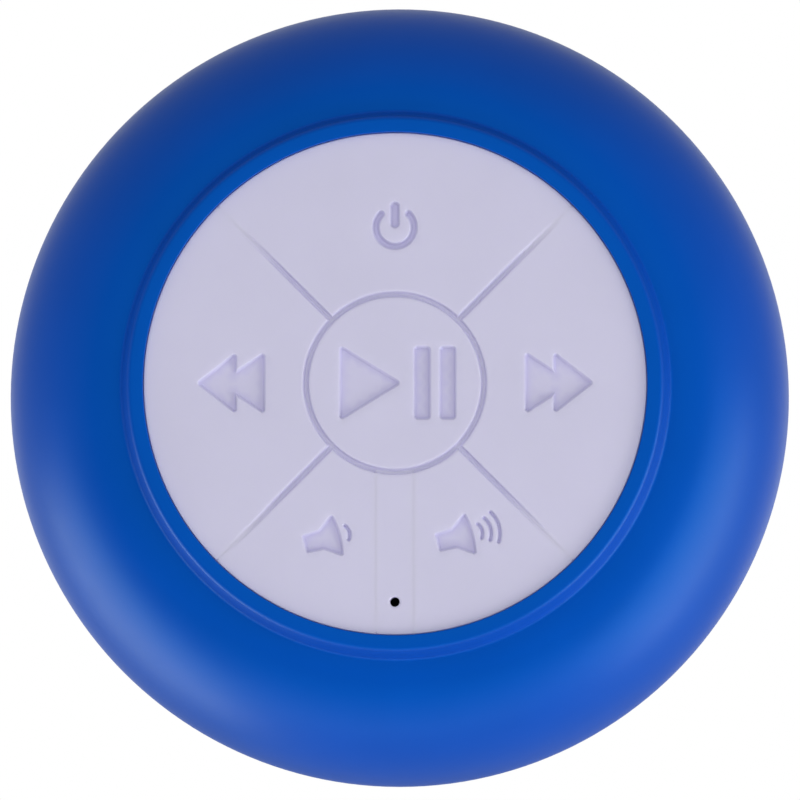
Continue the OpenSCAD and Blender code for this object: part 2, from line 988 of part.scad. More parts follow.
module speaker_screws() {
    color(steel) around(ear_ring, [45 : 90 : 315])
        translate([0, 0, frame_z + frame_t])
            screw(speaker_screw_r, speaker_screw_l, speaker_head_r, speaker_head_h);
}

// Cloth that keeps water out of the sound slots.
module acoustic_mesh() {
    color(black) ring(slot_in - 1.4, slot_out + 0.8, rear_top, rear_top + mesh_t);
}

// ---------------------------------------------------------------------------------------------
// Suction cup and port cover

// Height of the hollow's roof above the wall at a radius.
function hollow_z(r) = cup_hollow * (1 - (r / (cup_r - cup_lip)) ^ 2);

// Threaded stud with a disc that is moulded into the cup.
module cup_stud() {
    color(steel) union() {
        disc(stud_disc_r, stud_disc_z, stud_disc_z + stud_disc_t);
        disc(stud_r, stud_disc_z, stud_end);
    }
}

module suction_cup() {
    lip_in = cup_r - cup_lip;
    steps = 12;
    color([0.86, 0.87, 0.90]) difference() {
        rotate_extrude() polygon(concat(
            [[0, rear_z]],
            [for (i = [0 : steps]) let (r = lip_in * i / steps) [r, hollow_z(r)]],
            [
                [cup_r, 0], [cup_r - 0.1, 1], [24.5, 4.3], [19, 7], [13.5, 9.1],
                [hub_r + 0.4, 10.2], [hub_r, 11], [hub_r, rear_z]
            ]
        ));
        disc(stud_disc_r, stud_disc_z, stud_disc_z + stud_disc_t);
        disc(stud_r, stud_disc_z, rear_z + eps);
    }
}

module cup_nut() {
    color(steel) difference() {
        translate([0, 0, rear_top]) cylinder(d = nut_across / cos(30), h = nut_h, $fn = 6);
        disc(stud_r + thread_gap, rear_top - eps, rear_top + nut_h + eps);
    }
}

// Soft cover that closes the pocket flush with the case, with a boss that holds it in.
module usb_cover() {
    w = pocket_w - 2 * cover_gap;
    h = pocket_h - 2 * cover_gap;
    color(blue) {
        intersection() {
            case_solid(0);
            translate([0, 0, port_z]) rotate([90, 0, 0])
                translate([0, 0, cover_back]) linear_extrude(case_r) stadium(w, h);
        }
        translate([0, 0, port_z]) rotate([90, 0, 0])
            translate([0, 0, cover_back - cover_boss_l])
                linear_extrude(cover_boss_l + cover_gap) stadium(cover_boss_w, cover_boss_h);
    }
}

on_wall() front_shell();
on_wall() back_cover();
on_wall() body_seal();
on_wall() case_screws();
on_wall() screw_plugs();
on_wall() keypad_web();
on_wall() key_play();
on_wall() key_power();
on_wall() key_previous();
on_wall() key_next();
on_wall() key_volume_down();
on_wall() key_volume_up();
on_wall() key_board();
on_wall() key_board_screws();
on_wall() switch_cases();
on_wall() stem_play();
on_wall() stem_power();
on_wall() stem_previous();
on_wall() stem_next();
on_wall() stem_volume_down();
on_wall() stem_volume_up();
on_wall() microphone();
on_wall() mic_boot();
on_wall() status_led();
on_wall() ribbon_connectors();
on_wall() ribbon_cable();
on_wall() main_board();
on_wall() main_board_screws();
on_wall() bluetooth_chip();
on_wall() amplifier_chip();
on_wall() board_parts();
on_wall() usb_socket();
on_wall() usb_tongue();
on_wall() battery();
on_wall() battery_pad();
on_wall() battery_wires();
on_wall() speaker_frame();
on_wall() speaker_terminal();
on_wall() speaker_wires();
on_wall() top_plate();
on_wall() magnet();
on_wall() yoke();
on_wall() spider();
on_wall() surround();
on_wall() cone();
on_wall() dust_cap();
on_wall() voice_coil();
on_wall() speaker_gasket();
on_wall() speaker_screws();
on_wall() acoustic_mesh();
on_wall() suction_cup();
on_wall() cup_stud();
on_wall() cup_nut();
on_wall() usb_cover();
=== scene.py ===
"""Visual model of the shower speaker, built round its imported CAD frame.

Shapes are drawn in millimetres in a drawing frame: x to the right, y up, and z from the wall to the
face. at() turns that into the row frame, in metres, where the face looks along -Y.
"""

import json
import math

import bmesh
import bpy
import numpy as np
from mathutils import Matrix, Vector
from mathutils.geometry import delaunay_2d_cdt


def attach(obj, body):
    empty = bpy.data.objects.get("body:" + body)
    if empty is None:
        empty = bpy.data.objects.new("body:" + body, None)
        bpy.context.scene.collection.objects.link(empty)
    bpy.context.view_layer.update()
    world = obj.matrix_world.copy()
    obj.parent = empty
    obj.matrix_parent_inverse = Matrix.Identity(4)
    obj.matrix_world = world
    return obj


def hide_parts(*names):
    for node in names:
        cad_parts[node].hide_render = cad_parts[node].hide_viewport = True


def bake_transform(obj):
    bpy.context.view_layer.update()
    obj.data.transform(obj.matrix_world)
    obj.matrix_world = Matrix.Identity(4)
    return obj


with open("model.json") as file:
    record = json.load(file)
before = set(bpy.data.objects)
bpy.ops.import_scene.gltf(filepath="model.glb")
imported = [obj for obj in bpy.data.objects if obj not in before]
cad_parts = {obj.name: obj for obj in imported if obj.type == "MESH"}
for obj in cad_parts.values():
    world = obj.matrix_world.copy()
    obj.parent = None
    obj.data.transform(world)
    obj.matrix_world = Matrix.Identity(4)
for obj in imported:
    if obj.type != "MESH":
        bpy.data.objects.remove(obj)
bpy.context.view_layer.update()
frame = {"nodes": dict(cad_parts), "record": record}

MM = 0.001

# Case, as in the CAD model
CASE_R = 43.0
WIDE_Z = 32.4
REAR_Z = 13.0
REAR_R = 30.0
WALL = 2.4
SEAM_Z = 31.8
TOP_Z = 55.0
CREASE_Z = 52.0
CREASE_R = 29.4
BEZEL_R = 28.8
LIP_R = 26.7
FLANGE_R = 27.9
REAR_TOP = REAR_Z + WALL
SPIGOT_R = 40.2
HUB_R = 9.2
COLLAR_R = 10.4
COLLAR_H = 1.5
STUD_HOLE = 2.15
SEAT_IN = 20.4
SEAT_OUT = 22.6
SEAT_GAP = 0.8
CORNERS = (45, 135, 225, 315)
POST_RING = 35.2
POST_R = 2.8
POST_HOLE = 1.22
POST_Z = (23.2, 46.4)
SCREW_HEAD_R = 2.9
SCREW_HEAD_Z = 20.2
SCREW_HOLE = 1.35
BOSS_RING = 30.2
BOSS_R = 1.7
BOSS_HOLE = 0.82
BOSS_TOP = 50.3
KEY_BOARD_TOP = 48.2
MAIN_Z = 29.0
MAIN_POST_RING = 28.0
MAIN_POST_R = 2.6
MAIN_POST_HOLE = 1.02
MAIN_POST_TURNS = (90, 210, 330)
FRAME_Z = 19.0
EAR_RING = 24.4
EAR_R = 2.4
EAR_HOLE = 0.9
SLOT_COUNT = 18
SLOT_RING = 15.5
SLOT_LENGTH = 7.0
SLOT_WIDTH = 1.8

# Keypad
FACE_Z = 54.4
PAD_Z = 52.8
PAD_R = 26.68
RING_R = 9.43
STRIP_HALF = 2.0
SLIT = 0.001
GROOVE_DEPTH = 0.42
GROOVE_FLAT = 0.14
GROOVE_HALF = 0.40
FADE_FROM = 15.0
FADE_TO = 25.4
ICON_DEPTH = 0.55
ICON_EDGE = 0.38
RIM_ROUND = 0.10
MIC = (0.0, -23.2)
MIC_R = 0.51

# Charging port
PORT_Z = 27.7
POCKET_W = 12.2
POCKET_H = 6.6
POCKET_FLOOR = 38.2
COVER_BACK = 41.1
PLUG_HOLE_W = 8.4
PLUG_HOLE_H = 3.4

TURN_STEPS = 192


def at(x, y, z):
    """A point of the drawing frame, in millimetres, as a point of the row frame, in metres."""
    return (x * MM, -z * MM, y * MM)


# ---------------------------------------------------------------------------------------------
# Outlines


def rounded(corners, step=0.1):
    """A closed outline from (x, y, radius) corners, each rounded by an arc of its radius."""
    points = []
    count = len(corners)
    for i, (x, y, radius) in enumerate(corners):
        here = np.array([x, y], float)
        before = np.array(corners[i - 1][:2], float) - here
        after = np.array(corners[(i + 1) % count][:2], float) - here
        if radius <= 0:
            points.append(here)
            continue
        u = before / np.linalg.norm(before)
        v = after / np.linalg.norm(after)
        opening = math.acos(np.clip(u @ v, -1, 1))
        centre = here + (u + v) / np.linalg.norm(u + v) * radius / math.sin(opening / 2)
        start = here + u * radius / math.tan(opening / 2) - centre
        end = here + v * radius / math.tan(opening / 2) - centre
        a0 = math.atan2(start[1], start[0])
        turn = math.atan2(start[0] * end[1] - start[1] * end[0], start @ end)
        steps = max(2, math.ceil(abs(turn) * radius / step), math.ceil(abs(turn) / 0.3))
        for k in range(steps + 1):
            a = a0 + turn * k / steps
            points.append(centre + radius * np.array([math.cos(a), math.sin(a)]))
    return np.array(points)


def divided(loop, step):
    """The same closed loop with no side longer than step."""
    points = []
    for a, b in zip(loop, np.roll(loop, -1, axis=0)):
        parts = max(1, math.ceil(np.linalg.norm(b - a) / step))
        points.extend(a + (b - a) * k / parts for k in range(parts))
    return np.array(points)


def arc_points(radius, start, end, step=0.15, count=None):
    """Points on an arc about the origin, its angles in degrees."""
    count = count or max(3, math.ceil(abs(math.radians(end - start)) * radius / step))
    angles = np.radians(np.linspace(start, end, count + 1))
    return radius * np.column_stack([np.cos(angles), np.sin(angles)])


def arc_stroke(radius, start, end, width):
    """The closed outline of a line along an arc, with round ends."""
    half = width / 2
    ends = []
    for angle, first in ((end, end), (start, start + 180)):
        centre = radius * np.array([math.cos(math.radians(angle)), math.sin(math.radians(angle))])
        cap = arc_points(half, first, first + 180, 0.08)[1:-1]
        ends.append(centre + cap)
    outer = arc_points(radius + half, start, end)
    inner = arc_points(radius - half, end, start)
    return np.vstack([outer, ends[0], inner, ends[1]])


def stadium(width, height, count=20):
    """A closed outline with round ends, its long side along x."""
    half = height / 2
    shift = np.array([(width - height) / 2, 0])
    right = arc_points(half, -90, 90, count=count) + shift
    left = arc_points(half, 90, 270, count=count) - shift
    return np.vstack([right, left])


def turned(loop, degrees, move=(0, 0)):
    """A loop turned about the origin, then moved."""
    a = math.radians(degrees)
    spin = np.array([[math.cos(a), -math.sin(a)], [math.sin(a), math.cos(a)]])
    return loop @ spin.T + np.array(move)


def distance(points, loops):
    """Signed distance to the union of closed loops, negative inside."""
    best = np.full(len(points), np.inf)
    for loop in loops:
        a = loop
        b = np.roll(loop, -1, axis=0)
        side = b - a
        rel = points[:, None, :] - a[None, :, :]
        t = np.clip((rel * side).sum(2) / np.maximum((side**2).sum(1), 1e-12), 0, 1)
        gap = np.linalg.norm(rel - t[:, :, None] * side, axis=2).min(1)
        x, y = points[:, 0, None], points[:, 1, None]
        spans = (a[:, 1] > y) != (b[:, 1] > y)
        rise = np.where(side[:, 1] == 0, 1e-12, side[:, 1])
        crosses = spans & (x < a[:, 0] + (y - a[:, 1]) / rise * side[:, 0])
        inside = crosses.sum(1) % 2 == 1
        best = np.minimum(best, np.where(inside, -gap, gap))
    return best


def beside(loop, offset):
    """The loop moved sideways by offset, outwards if the loop runs counter-clockwise."""
    along = np.roll(loop, -1, axis=0) - np.roll(loop, 1, axis=0)
    along /= np.maximum(np.linalg.norm(along, axis=1), 1e-9)[:, None]
    return loop + offset * np.column_stack([along[:, 1], -along[:, 0]])


def smooth_step(value, low, high):
    """0 below low, 1 above high, and a smooth curve between."""
    t = np.clip((value - low) / (high - low), 0, 1)
    return t * t * (3 - 2 * t)


# ---------------------------------------------------------------------------------------------
# Meshes


class Shape:
    """Points in the drawing frame and the faces between them."""

    def __init__(self):
        self.points = []
        self.faces = []

    def add(self, points, faces):
        first = len(self.points)
        self.points.extend([tuple(float(c) for c in p) for p in points])
        self.faces.extend([tuple(first + i for i in face) for face in faces])
        return self

    def join(self, other):
        return self.add(other.points, other.faces)


def lathe(profile, steps=TURN_STEPS):
    """A closed (r, z) outline turned about the axis. Points on the axis become poles."""
    rows = []
    points = []
    for r, z in profile:
        if r < 1e-6:
            rows.append([len(points)] * steps)
            points.append((0, 0, z))
            continue
        rows.append(list(range(len(points), len(points) + steps)))
        for k in range(steps):
            a = 2 * math.pi * k / steps
            points.append((r * math.cos(a), r * math.sin(a), z))
    faces = []
    for i, low in enumerate(rows):
        high = rows[(i + 1) % len(rows)]
        for k in range(steps):
            n = (k + 1) % steps
            corners = [low[k], low[n], high[n], high[k]]
            distinct = list(dict.fromkeys(corners))
            if len(distinct) > 2:
                faces.append(distinct)
    return Shape().add(points, faces)


def loft(levels):
    """A closed solid through rings of points, all with the same count, capped at both ends."""
    count = len(levels[0])
    points = [p for ring in levels for p in ring]
    faces = [tuple(range(count)), tuple((len(levels) - 1) * count + k for k in range(count))]
    for i in range(len(levels) - 1):
        for k in range(count):
            n = (k + 1) % count
            faces.append((i * count + k, i * count + n, (i + 1) * count + n, (i + 1) * count + k))
    return Shape().add(points, faces)


def moved(shape, x, y, turn=0):
    """A copy of a shape, turned about the axis in degrees and then moved."""
    a = math.radians(turn)
    copy = Shape()
    points = [
        (
            px * math.cos(a) - py * math.sin(a) + x,
            px * math.sin(a) + py * math.cos(a) + y,
            pz,
        )
        for px, py, pz in shape.points
    ]
    return copy.add(points, shape.faces)


def copies(shape, radius, turns, turned=False):
    """Copies of a shape on a circle about the axis. A shape that isn't round is turned to its place."""
    made = Shape()
    for turn in turns:
        a = math.radians(turn)
        made.join(moved(shape, radius * math.cos(a), radius * math.sin(a), turn if turned else 0))
    return made


def relief(loops, inner, height, floor, place=lambda u, v, h: (u, v, h)):
    """A closed slab whose top follows height(points) inside the first loop and outside the others.

    loops are the top's edges, inner the points between them, and floor the level of the flat back.
    """
    edge_points = np.vstack(loops)
    flat = np.vstack([edge_points, inner]) if len(inner) else edge_points
    edges = []
    first = 0
    for loop in loops:
        count = len(loop)
        edges.extend((first + k, first + (k + 1) % count) for k in range(count))
        first += count

    def triangles(points):
        made = delaunay_2d_cdt([Vector(p) for p in points], edges, [], 1, 1e-7)
        spots = np.array([tuple(p) for p in made[0]])
        kept = []
        for tri in made[2]:
            middle = spots[list(tri)].mean(0)[None]
            if all(distance(middle, [hole])[0] > 0 for hole in loops[1:]):
                kept.append(tuple(tri))
        origin = {}
        for k, sources in enumerate(made[3]):
            for source in sources:
                origin[source] = k
        return spots, kept, origin

    shape = Shape()
    spots, top, origin = triangles(flat)
    tops = height(spots)
    shape.add([place(u, v, h) for (u, v), h in zip(spots, tops)], top)
    base, bottom, base_origin = triangles(edge_points)
    first_base = len(shape.points)
    shape.add([place(u, v, floor) for u, v in base], bottom)
    for a, b in edges:
        shape.faces.append(
            (
                origin[a],
                origin[b],
                first_base + base_origin[b],
                first_base + base_origin[a],
            )
        )
    return shape


def piece(name, shape, material, body, replaces=(), sharp=38):
    """A Blender object from a shape, smooth except along its sharp edges, riding on a body."""
    mesh = bpy.data.meshes.new(name)
    mesh.from_pydata([at(*p) for p in shape.points], [], shape.faces)
    return dress(name, mesh, material, body, replaces, sharp)


def mark_recess_shade(thing, icons):
    """Stores how far each point lies in a recess, most beside its walls: the mask of the painted shade
    in the silicone's colour.
    """
    mesh = thing.data
    flat = np.array([(vertex.co.x / MM, vertex.co.z / MM) for vertex in mesh.vertices])
    below = np.array([FACE_Z + vertex.co.y / MM for vertex in mesh.vertices])
    open_floor = smooth_step(-distance(flat, icons), 0.15, 0.75)
    closed = np.clip(below / ICON_DEPTH, 0, 1) * (1 - 0.8 * open_floor)
    mesh.attributes.new("recess", "FLOAT", "POINT").data.foreach_set("value", closed)


def dress(name, mesh, material, body, replaces=(), sharp=38):
    """Cleans a mesh, gives it its material and puts it on its body."""
    work = bmesh.new()
    work.from_mesh(mesh)
    bmesh.ops.remove_doubles(work, verts=work.verts, dist=1e-7)
    bmesh.ops.recalc_face_normals(work, faces=work.faces)
    work.to_mesh(mesh)
    work.free()
    mesh.shade_smooth()
    mesh.set_sharp_from_angle(angle=math.radians(sharp))
    mesh.materials.clear()
    mesh.materials.append(material)
    thing = bpy.data.objects.new(name, mesh)
    bpy.context.scene.collection.objects.link(thing)
    if body:
        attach(thing, body)
    if replaces:
        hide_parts(*replaces)
    return thing


def outward(mesh):
    """Turns a mesh's faces so that they all look outwards."""
    work = bmesh.new()
    work.from_mesh(mesh)
    bmesh.ops.recalc_face_normals(work, faces=work.faces)
    work.to_mesh(mesh)
    work.free()


def solid_object(name, shape):
    """A plain Blender object of a shape, for a boolean."""
    mesh = bpy.data.meshes.new(name)
    mesh.from_pydata([at(*p) for p in shape.points], [], shape.faces)
    outward(mesh)
    thing = bpy.data.objects.new(name, mesh)
    bpy.context.scene.collection.objects.link(thing)
    return thing


def combined(base, steps):
    """The mesh of a shape after a boolean with each (shape, operation) in turn."""
    thing = solid_object("base", base)
    tools = []
    for shape, operation in steps:
        tool = solid_object("tool", shape)
        change = thing.modifiers.new("change", "BOOLEAN")
        change.operation = operation
        change.solver = "MANIFOLD"
        change.object = tool
        tools.append(tool)
    bpy.context.view_layer.update()
    shown = thing.evaluated_get(bpy.context.evaluated_depsgraph_get())
    result = bpy.data.meshes.new_from_object(shown)
    for leftover in [thing, *tools]:
        bpy.data.objects.remove(leftover)
    return result


# ---------------------------------------------------------------------------------------------
# Materials


class Paint:
    """A procedural material, built node by node."""

    def __init__(self, name):
        self.material = bpy.data.materials.new(name)
        self.material.use_nodes = True
        self.tree = self.material.node_tree
        self.shader = self.tree.nodes["Principled BSDF"]
        self.coords = self.node("ShaderNodeTexCoord").outputs["Object"]

    def node(self, kind, inputs=None, **settings):
        made = self.tree.nodes.new(kind)
        for key, value in settings.items():
            setattr(made, key, value)
        for key, value in (inputs or {}).items():
            if isinstance(value, bpy.types.NodeSocket):
                self.tree.links.new(value, made.inputs[key])
            else:
                made.inputs[key].default_value = value
        return made

    def set(self, **inputs):
        """Sets or links the shader's inputs; an underscore stands for a space."""
        for key, value in inputs.items():
            socket = self.shader.inputs[key.replace("_", " ")]
            if isinstance(value, bpy.types.NodeSocket):
                self.tree.links.new(value, socket)
            else:
                socket.default_value = value
        return self

    def noise(self, size_mm, detail=3.0, stretch=(1, 1, 1)):
        """Soft noise with features of about size_mm."""
        mapped = self.node(
            "ShaderNodeMapping", {"Vector": self.coords, "Scale": stretch}
        ).outputs["Vector"]
        return self.node(
            "ShaderNodeTexNoise",
            {"Vector": mapped, "Scale": 1 / (size_mm * MM), "Detail": detail},
        ).outputs["Fac"]

    def cells(self, size_mm):
        """Distance from the middle of cells of about size_mm."""
        return self.node(
            "ShaderNodeTexVoronoi", {"Vector": self.coords, "Scale": 1 / (size_mm * MM)}
        ).outputs["Distance"]

    def bands(self, size_mm, direction="X", kind="BANDS"):
        """Smooth stripes or rings, size_mm apart."""
        settings = {"wave_type": kind}
        settings["bands_direction" if kind == "BANDS" else "rings_direction"] = direction
        return self.node(
            "ShaderNodeTexWave",
            {"Vector": self.coords, "Scale": 0.314159 / (size_mm * MM)},
            **settings,
        ).outputs["Fac"]

    def ramp(self, fac, stops):
        """A colour ramp from (position, (r, g, b)) stops."""
        made = self.node("ShaderNodeValToRGB", {"Fac": fac})
        ramp = made.color_ramp
        while len(ramp.elements) < len(stops):
            ramp.elements.new(0.5)
        for element, (position, colour) in zip(ramp.elements, stops):
            element.position = position
            element.color = (*colour, 1)
        return made.outputs["Color"]

    def span(self, fac, low, high):
        """A value that runs from low to high with fac."""
        return self.node(
            "ShaderNodeMapRange", {"Value": fac, "To Min": low, "To Max": high}
        ).outputs["Result"]

    def bump(self, height, depth_mm, below=None):
        """A normal that follows a height, on top of another normal if given."""
        inputs = {"Height": height, "Distance": depth_mm * MM, "Strength": 1.0}
        if below is not None:
            inputs["Normal"] = below
        return self.node("ShaderNodeBump", inputs).outputs["Normal"]


def shade(colour, factor):
    return tuple(min(1.0, c * factor) for c in colour)


def plain_noise(name, colour, rough=(0.4, 0.55), vary=0.08, patch=6.0, grain=0.2, depth=0.01,
                metal=0.0, stretch=(1, 1, 1)):
    """A material with slightly uneven colour and gloss over a fine grain."""
    paint = Paint(name)
    patches = paint.noise(patch)
    grains = paint.noise(grain, 2.0, stretch)
    stops = [(0.35, shade(colour, 1 - vary)), (0.65, shade(colour, 1 + vary))]
    paint.set(
        Base_Color=paint.ramp(patches, stops),
        Roughness=paint.span(grains, *rough),
        Normal=paint.bump(grains, depth),
        Metallic=metal,
    )
    return paint


def soft_touch():
    """Blue soft-touch coat: satin, with a faint dusty bloom at grazing angles."""
    paint = Paint("soft_touch")
    patches = paint.noise(14)
    grain = paint.noise(0.12, 2.0)
    deep = (0.0001, 0.0620, 0.420)
    facing = paint.node("ShaderNodeLayerWeight", {"Blend": 0.5}).outputs["Facing"]
    tints = [(0.08, (0.04, 0.58, 1.0)), (0.40, (0.34, 0.78, 1.0)), (0.82, (0.42, 1.0, 1.0))]
    gloss = paint.ramp(facing, tints)
    paint.set(
        Base_Color=paint.ramp(patches, [(0.3, shade(deep, 0.97)), (0.7, shade(deep, 1.03))]),
        Roughness=paint.span(paint.noise(3.0), 0.38, 0.44),
        Normal=paint.bump(grain, 0.0025),
        Specular_IOR_Level=0.38,
        Specular_Tint=gloss,
    )
    return paint.material


def blue_rubber():
    """Matt blue rubber of the port cover and the screw plugs."""
    paint = plain_noise("blue_rubber", (0.0003, 0.055, 0.36), (0.50, 0.60), 0.04, 5, 0.15, 0.006)
    paint.set(Specular_IOR_Level=0.35, Specular_Tint=(0.15, 0.62, 1.0, 1.0))
    return paint.material


def keypad_silicone():
    """Pale lilac silicone: matt, finely grained, and a little translucent, with painted shade darkening
    its engravings and grooves.
    """
    paint = Paint("keypad_silicone")
    tone = (0.622, 0.606, 0.785)
    patches = paint.noise(9)
    grain = paint.noise(0.10, 2.0)
    face = paint.ramp(patches, [(0.3, shade(tone, 0.985)), (0.7, shade(tone, 1.015))])
    # Painted shade: the colour darkens towards violet grey in the recesses, most beside their walls.
    recess = paint.node("ShaderNodeAttribute", attribute_name="recess").outputs["Fac"]
    painted_recess_shade = paint.ramp(recess, [(0.0, (1.0, 1.0, 1.0)), (1.0, (0.88, 0.865, 0.965))])
    colour = paint.node("ShaderNodeVectorMath", {0: face, 1: painted_recess_shade}, operation="MULTIPLY")
    paint.set(
        Base_Color=colour.outputs["Vector"],
        Roughness=paint.span(paint.noise(2.0), 0.52, 0.60),
        Normal=paint.bump(grain, 0.003),
        Subsurface_Weight=0.25,
        Subsurface_Radius=(1.0, 0.9, 1.1),
        Subsurface_Scale=0.0006,
        Sheen_Weight=0.05,
    )
    return paint.material


def cup_rubber():
    """Milky soft rubber that lets light through."""
    paint = Paint("cup_rubber")
    cloud = paint.noise(7)
    paint.set(
        Base_Color=paint.ramp(cloud, [(0.3, (0.89, 0.90, 0.93)), (0.7, (0.95, 0.95, 0.97))]),
        Roughness=paint.span(paint.noise(1.2), 0.16, 0.26),
        Normal=paint.bump(paint.noise(0.8), 0.004),
        IOR=1.41,
        Transmission_Weight=0.45,
        Subsurface_Weight=0.4,
        Subsurface_Radius=(1.0, 1.0, 1.0),
        Subsurface_Scale=0.003,
    )
    return paint.material


def black_rubber():
    return plain_noise("black_rubber", (0.018, 0.018, 0.02), (0.5, 0.65), 0.2, 3, 0.2, 0.01).material


def foam():
    paint = plain_noise("foam", (0.035, 0.035, 0.038), (0.85, 0.95), 0.2, 2, 0.3, 0.01)
    paint.set(Normal=paint.bump(paint.cells(0.35), 0.12))
    return paint.material


def steel(name, colour, rough, stretch):
    return plain_noise(name, colour, rough, 0.05, 4, 0.25, 0.004, 1.0, stretch).material


def microphone_can():
    """Plated can with a round of black felt over its port."""
    paint = plain_noise("microphone_can", (0.74, 0.74, 0.76), (0.22, 0.34), 0.05, 4, 0.25, 0.004)
    flat = paint.node(
        "ShaderNodeVectorMath", {0: paint.coords, 1: (1.0, 0.0, 1.0)}, operation="MULTIPLY"
    ).outputs["Vector"]
    axis = (MIC[0] * MM, 0.0, MIC[1] * MM)
    gap = paint.node("ShaderNodeVectorMath", {0: flat, 1: axis}, operation="DISTANCE")
    can = paint.node(
        "ShaderNodeMapRange",
        {"Value": gap.outputs["Value"], "From Min": 1.35 * MM, "From Max": 1.45 * MM},
    ).outputs["Result"]
    paint.set(
        Base_Color=paint.ramp(can, [(0.0, (0.012, 0.012, 0.012)), (1.0, (0.74, 0.74, 0.76))]),
        Metallic=can,
        Roughness=paint.span(can, 0.95, 0.28),
    )
    return paint.material


def copper_winding():
    paint = plain_noise("coil_copper", (0.72, 0.30, 0.12), (0.25, 0.35), 0.1, 2, 0.3, 0.003, 1.0)
    paint.set(Normal=paint.bump(paint.bands(0.18, "Y"), 0.06))
    return paint.material


def circuit_board():
    """Green solder mask over faint copper tracks and pads."""
    paint = Paint("circuit_board")
    tracks = paint.node(
        "ShaderNodeTexBrick",
        {"Vector": paint.coords, "Scale": 220.0, "Mortar Size": 0.10, "Mortar Smooth": 0.3,
         "Brick Width": 0.9, "Row Height": 0.3},
    ).outputs["Fac"]
    colour = paint.ramp(tracks, [(0.2, (0.012, 0.105, 0.045)), (0.8, (0.030, 0.190, 0.075))])
    paint.set(
        Base_Color=colour,
        Roughness=paint.span(paint.noise(1.5), 0.22, 0.34),
        Normal=paint.bump(tracks, 0.03),
        Coat_Weight=0.4,
        Coat_Roughness=0.2,
    )
    return paint.material


def foil():
    paint = plain_noise("battery_foil", (0.58, 0.60, 0.64), (0.30, 0.42), 0.05, 8, 0.3, 0.004, 0.9)
    paint.set(Normal=paint.bump(paint.noise(2.5, 4.0), 0.06))
    return paint.material


def wire_jacket():
    """Red above the middle of the case and black below it, as the two wires of a pair lie."""
    paint = plain_noise("wire_jacket", (0.5, 0.5, 0.5), (0.28, 0.36), 0.05, 2, 0.2, 0.003)
    height = paint.node("ShaderNodeSeparateXYZ", {"Vector": paint.coords}).outputs["Z"]
    upper = paint.node("ShaderNodeMath", {0: height, 1: 0.0}, operation="GREATER_THAN")
    pair = [(0.0, (0.012, 0.012, 0.013)), (1.0, (0.55, 0.02, 0.02))]
    paint.set(Base_Color=paint.ramp(upper.outputs["Value"], pair))
    return paint.material


def ribbon_film():
    paint = plain_noise("ribbon_film", (0.82, 0.82, 0.84), (0.25, 0.32), 0.03, 3, 0.3, 0.002)
    lines = paint.bands(0.5, "Z")
    paint.set(
        Base_Color=paint.ramp(lines, [(0.4, (0.78, 0.78, 0.80)), (0.8, (0.42, 0.40, 0.38))]),
        Normal=paint.bump(lines, 0.02),
    )
    return paint.material


def cloth(name, light, dark, weave):
    """Woven cloth, from two sets of threads that cross."""
    paint = Paint(name)
    across = paint.bands(weave, "X")
    along = paint.bands(weave, "Z")
    threads = paint.node("ShaderNodeMath", {0: across, 1: along}, operation="MULTIPLY")
    paint.set(
        Base_Color=paint.ramp(threads.outputs["Value"], [(0.1, dark), (0.7, light)]),
        Roughness=0.85,
        Normal=paint.bump(threads.outputs["Value"], 0.06),
        Sheen_Weight=0.2,
    )
    return paint.material


def make_materials():
    """One material for each material slot of the record."""
    return {
        "soft_touch": soft_touch(),
        "blue_rubber": blue_rubber(),
        "keypad_silicone": keypad_silicone(),
        "cup_rubber": cup_rubber(),
        "black_rubber": black_rubber(),
        "foam": foam(),
        "screw_steel": steel("screw_steel", (0.66, 0.66, 0.68), (0.22, 0.36), (1, 1, 1)),
        "basket_steel": steel("basket_steel", (0.56, 0.57, 0.59), (0.30, 0.46), (1, 6, 1)),
        "socket_steel": steel("socket_steel", (0.72, 0.72, 0.74), (0.12, 0.22), (1, 1, 4)),
        "can_metal": steel("can_metal", (0.74, 0.74, 0.76), (0.22, 0.34), (1, 1, 1)),
        "contact_brass": steel("contact_brass", (0.78, 0.58, 0.26), (0.22, 0.36), (4, 1, 1)),
        "coil_copper": copper_winding(),
        "ferrite": plain_noise(
            "ferrite", (0.035, 0.035, 0.038), (0.45, 0.62), 0.15, 3, 0.25, 0.02
        ).material,
        "circuit_board": circuit_board(),
        "black_plastic": plain_noise(
            "black_plastic", (0.018, 0.018, 0.020), (0.38, 0.5), 0.15, 3, 0.15, 0.01
        ).material,
        "stem_plastic": plain_noise(
            "stem_plastic", (0.62, 0.56, 0.42), (0.35, 0.45), 0.06, 2, 0.15, 0.006
        ).material,
        "chip_plastic": plain_noise(
            "chip_plastic", (0.022, 0.022, 0.024), (0.42, 0.55), 0.12, 2, 0.1, 0.01
        ).material,
        "led_lens": plain_noise(
            "led_lens", (0.90, 0.86, 0.62), (0.12, 0.2), 0.05, 1, 0.3, 0.003
        ).material,
        "ribbon_film": ribbon_film(),
        "battery_foil": foil(),
        "wire_jacket": wire_jacket(),
        "spider_cloth": cloth("spider_cloth", (0.62, 0.42, 0.14), (0.30, 0.18, 0.05), 0.5),
        "cone_paper": plain_noise(
            "cone_paper", (0.020, 0.020, 0.022), (0.7, 0.85), 0.3, 1.2, 0.4, 0.03
        ).material,
        "mesh_cloth": cloth("mesh_cloth", (0.030, 0.030, 0.034), (0.006, 0.006, 0.007), 0.35),
    }


# ---------------------------------------------------------------------------------------------
# Case


def quarter(foot_r, foot_z, inset=0.0, steps=40):
    """Points of the case's section from its widest point to the foot, moved inwards."""
    wide = CASE_R - inset - foot_r
    tall = abs(foot_z - WIDE_Z) - inset
    sign = 1 if foot_z > WIDE_Z else -1
    angles = np.radians(np.linspace(0, 90, steps + 1))
    return [
        (foot_r + wide * math.cos(a), WIDE_Z + sign * tall * math.sin(a), 0.0) for a in angles
    ]


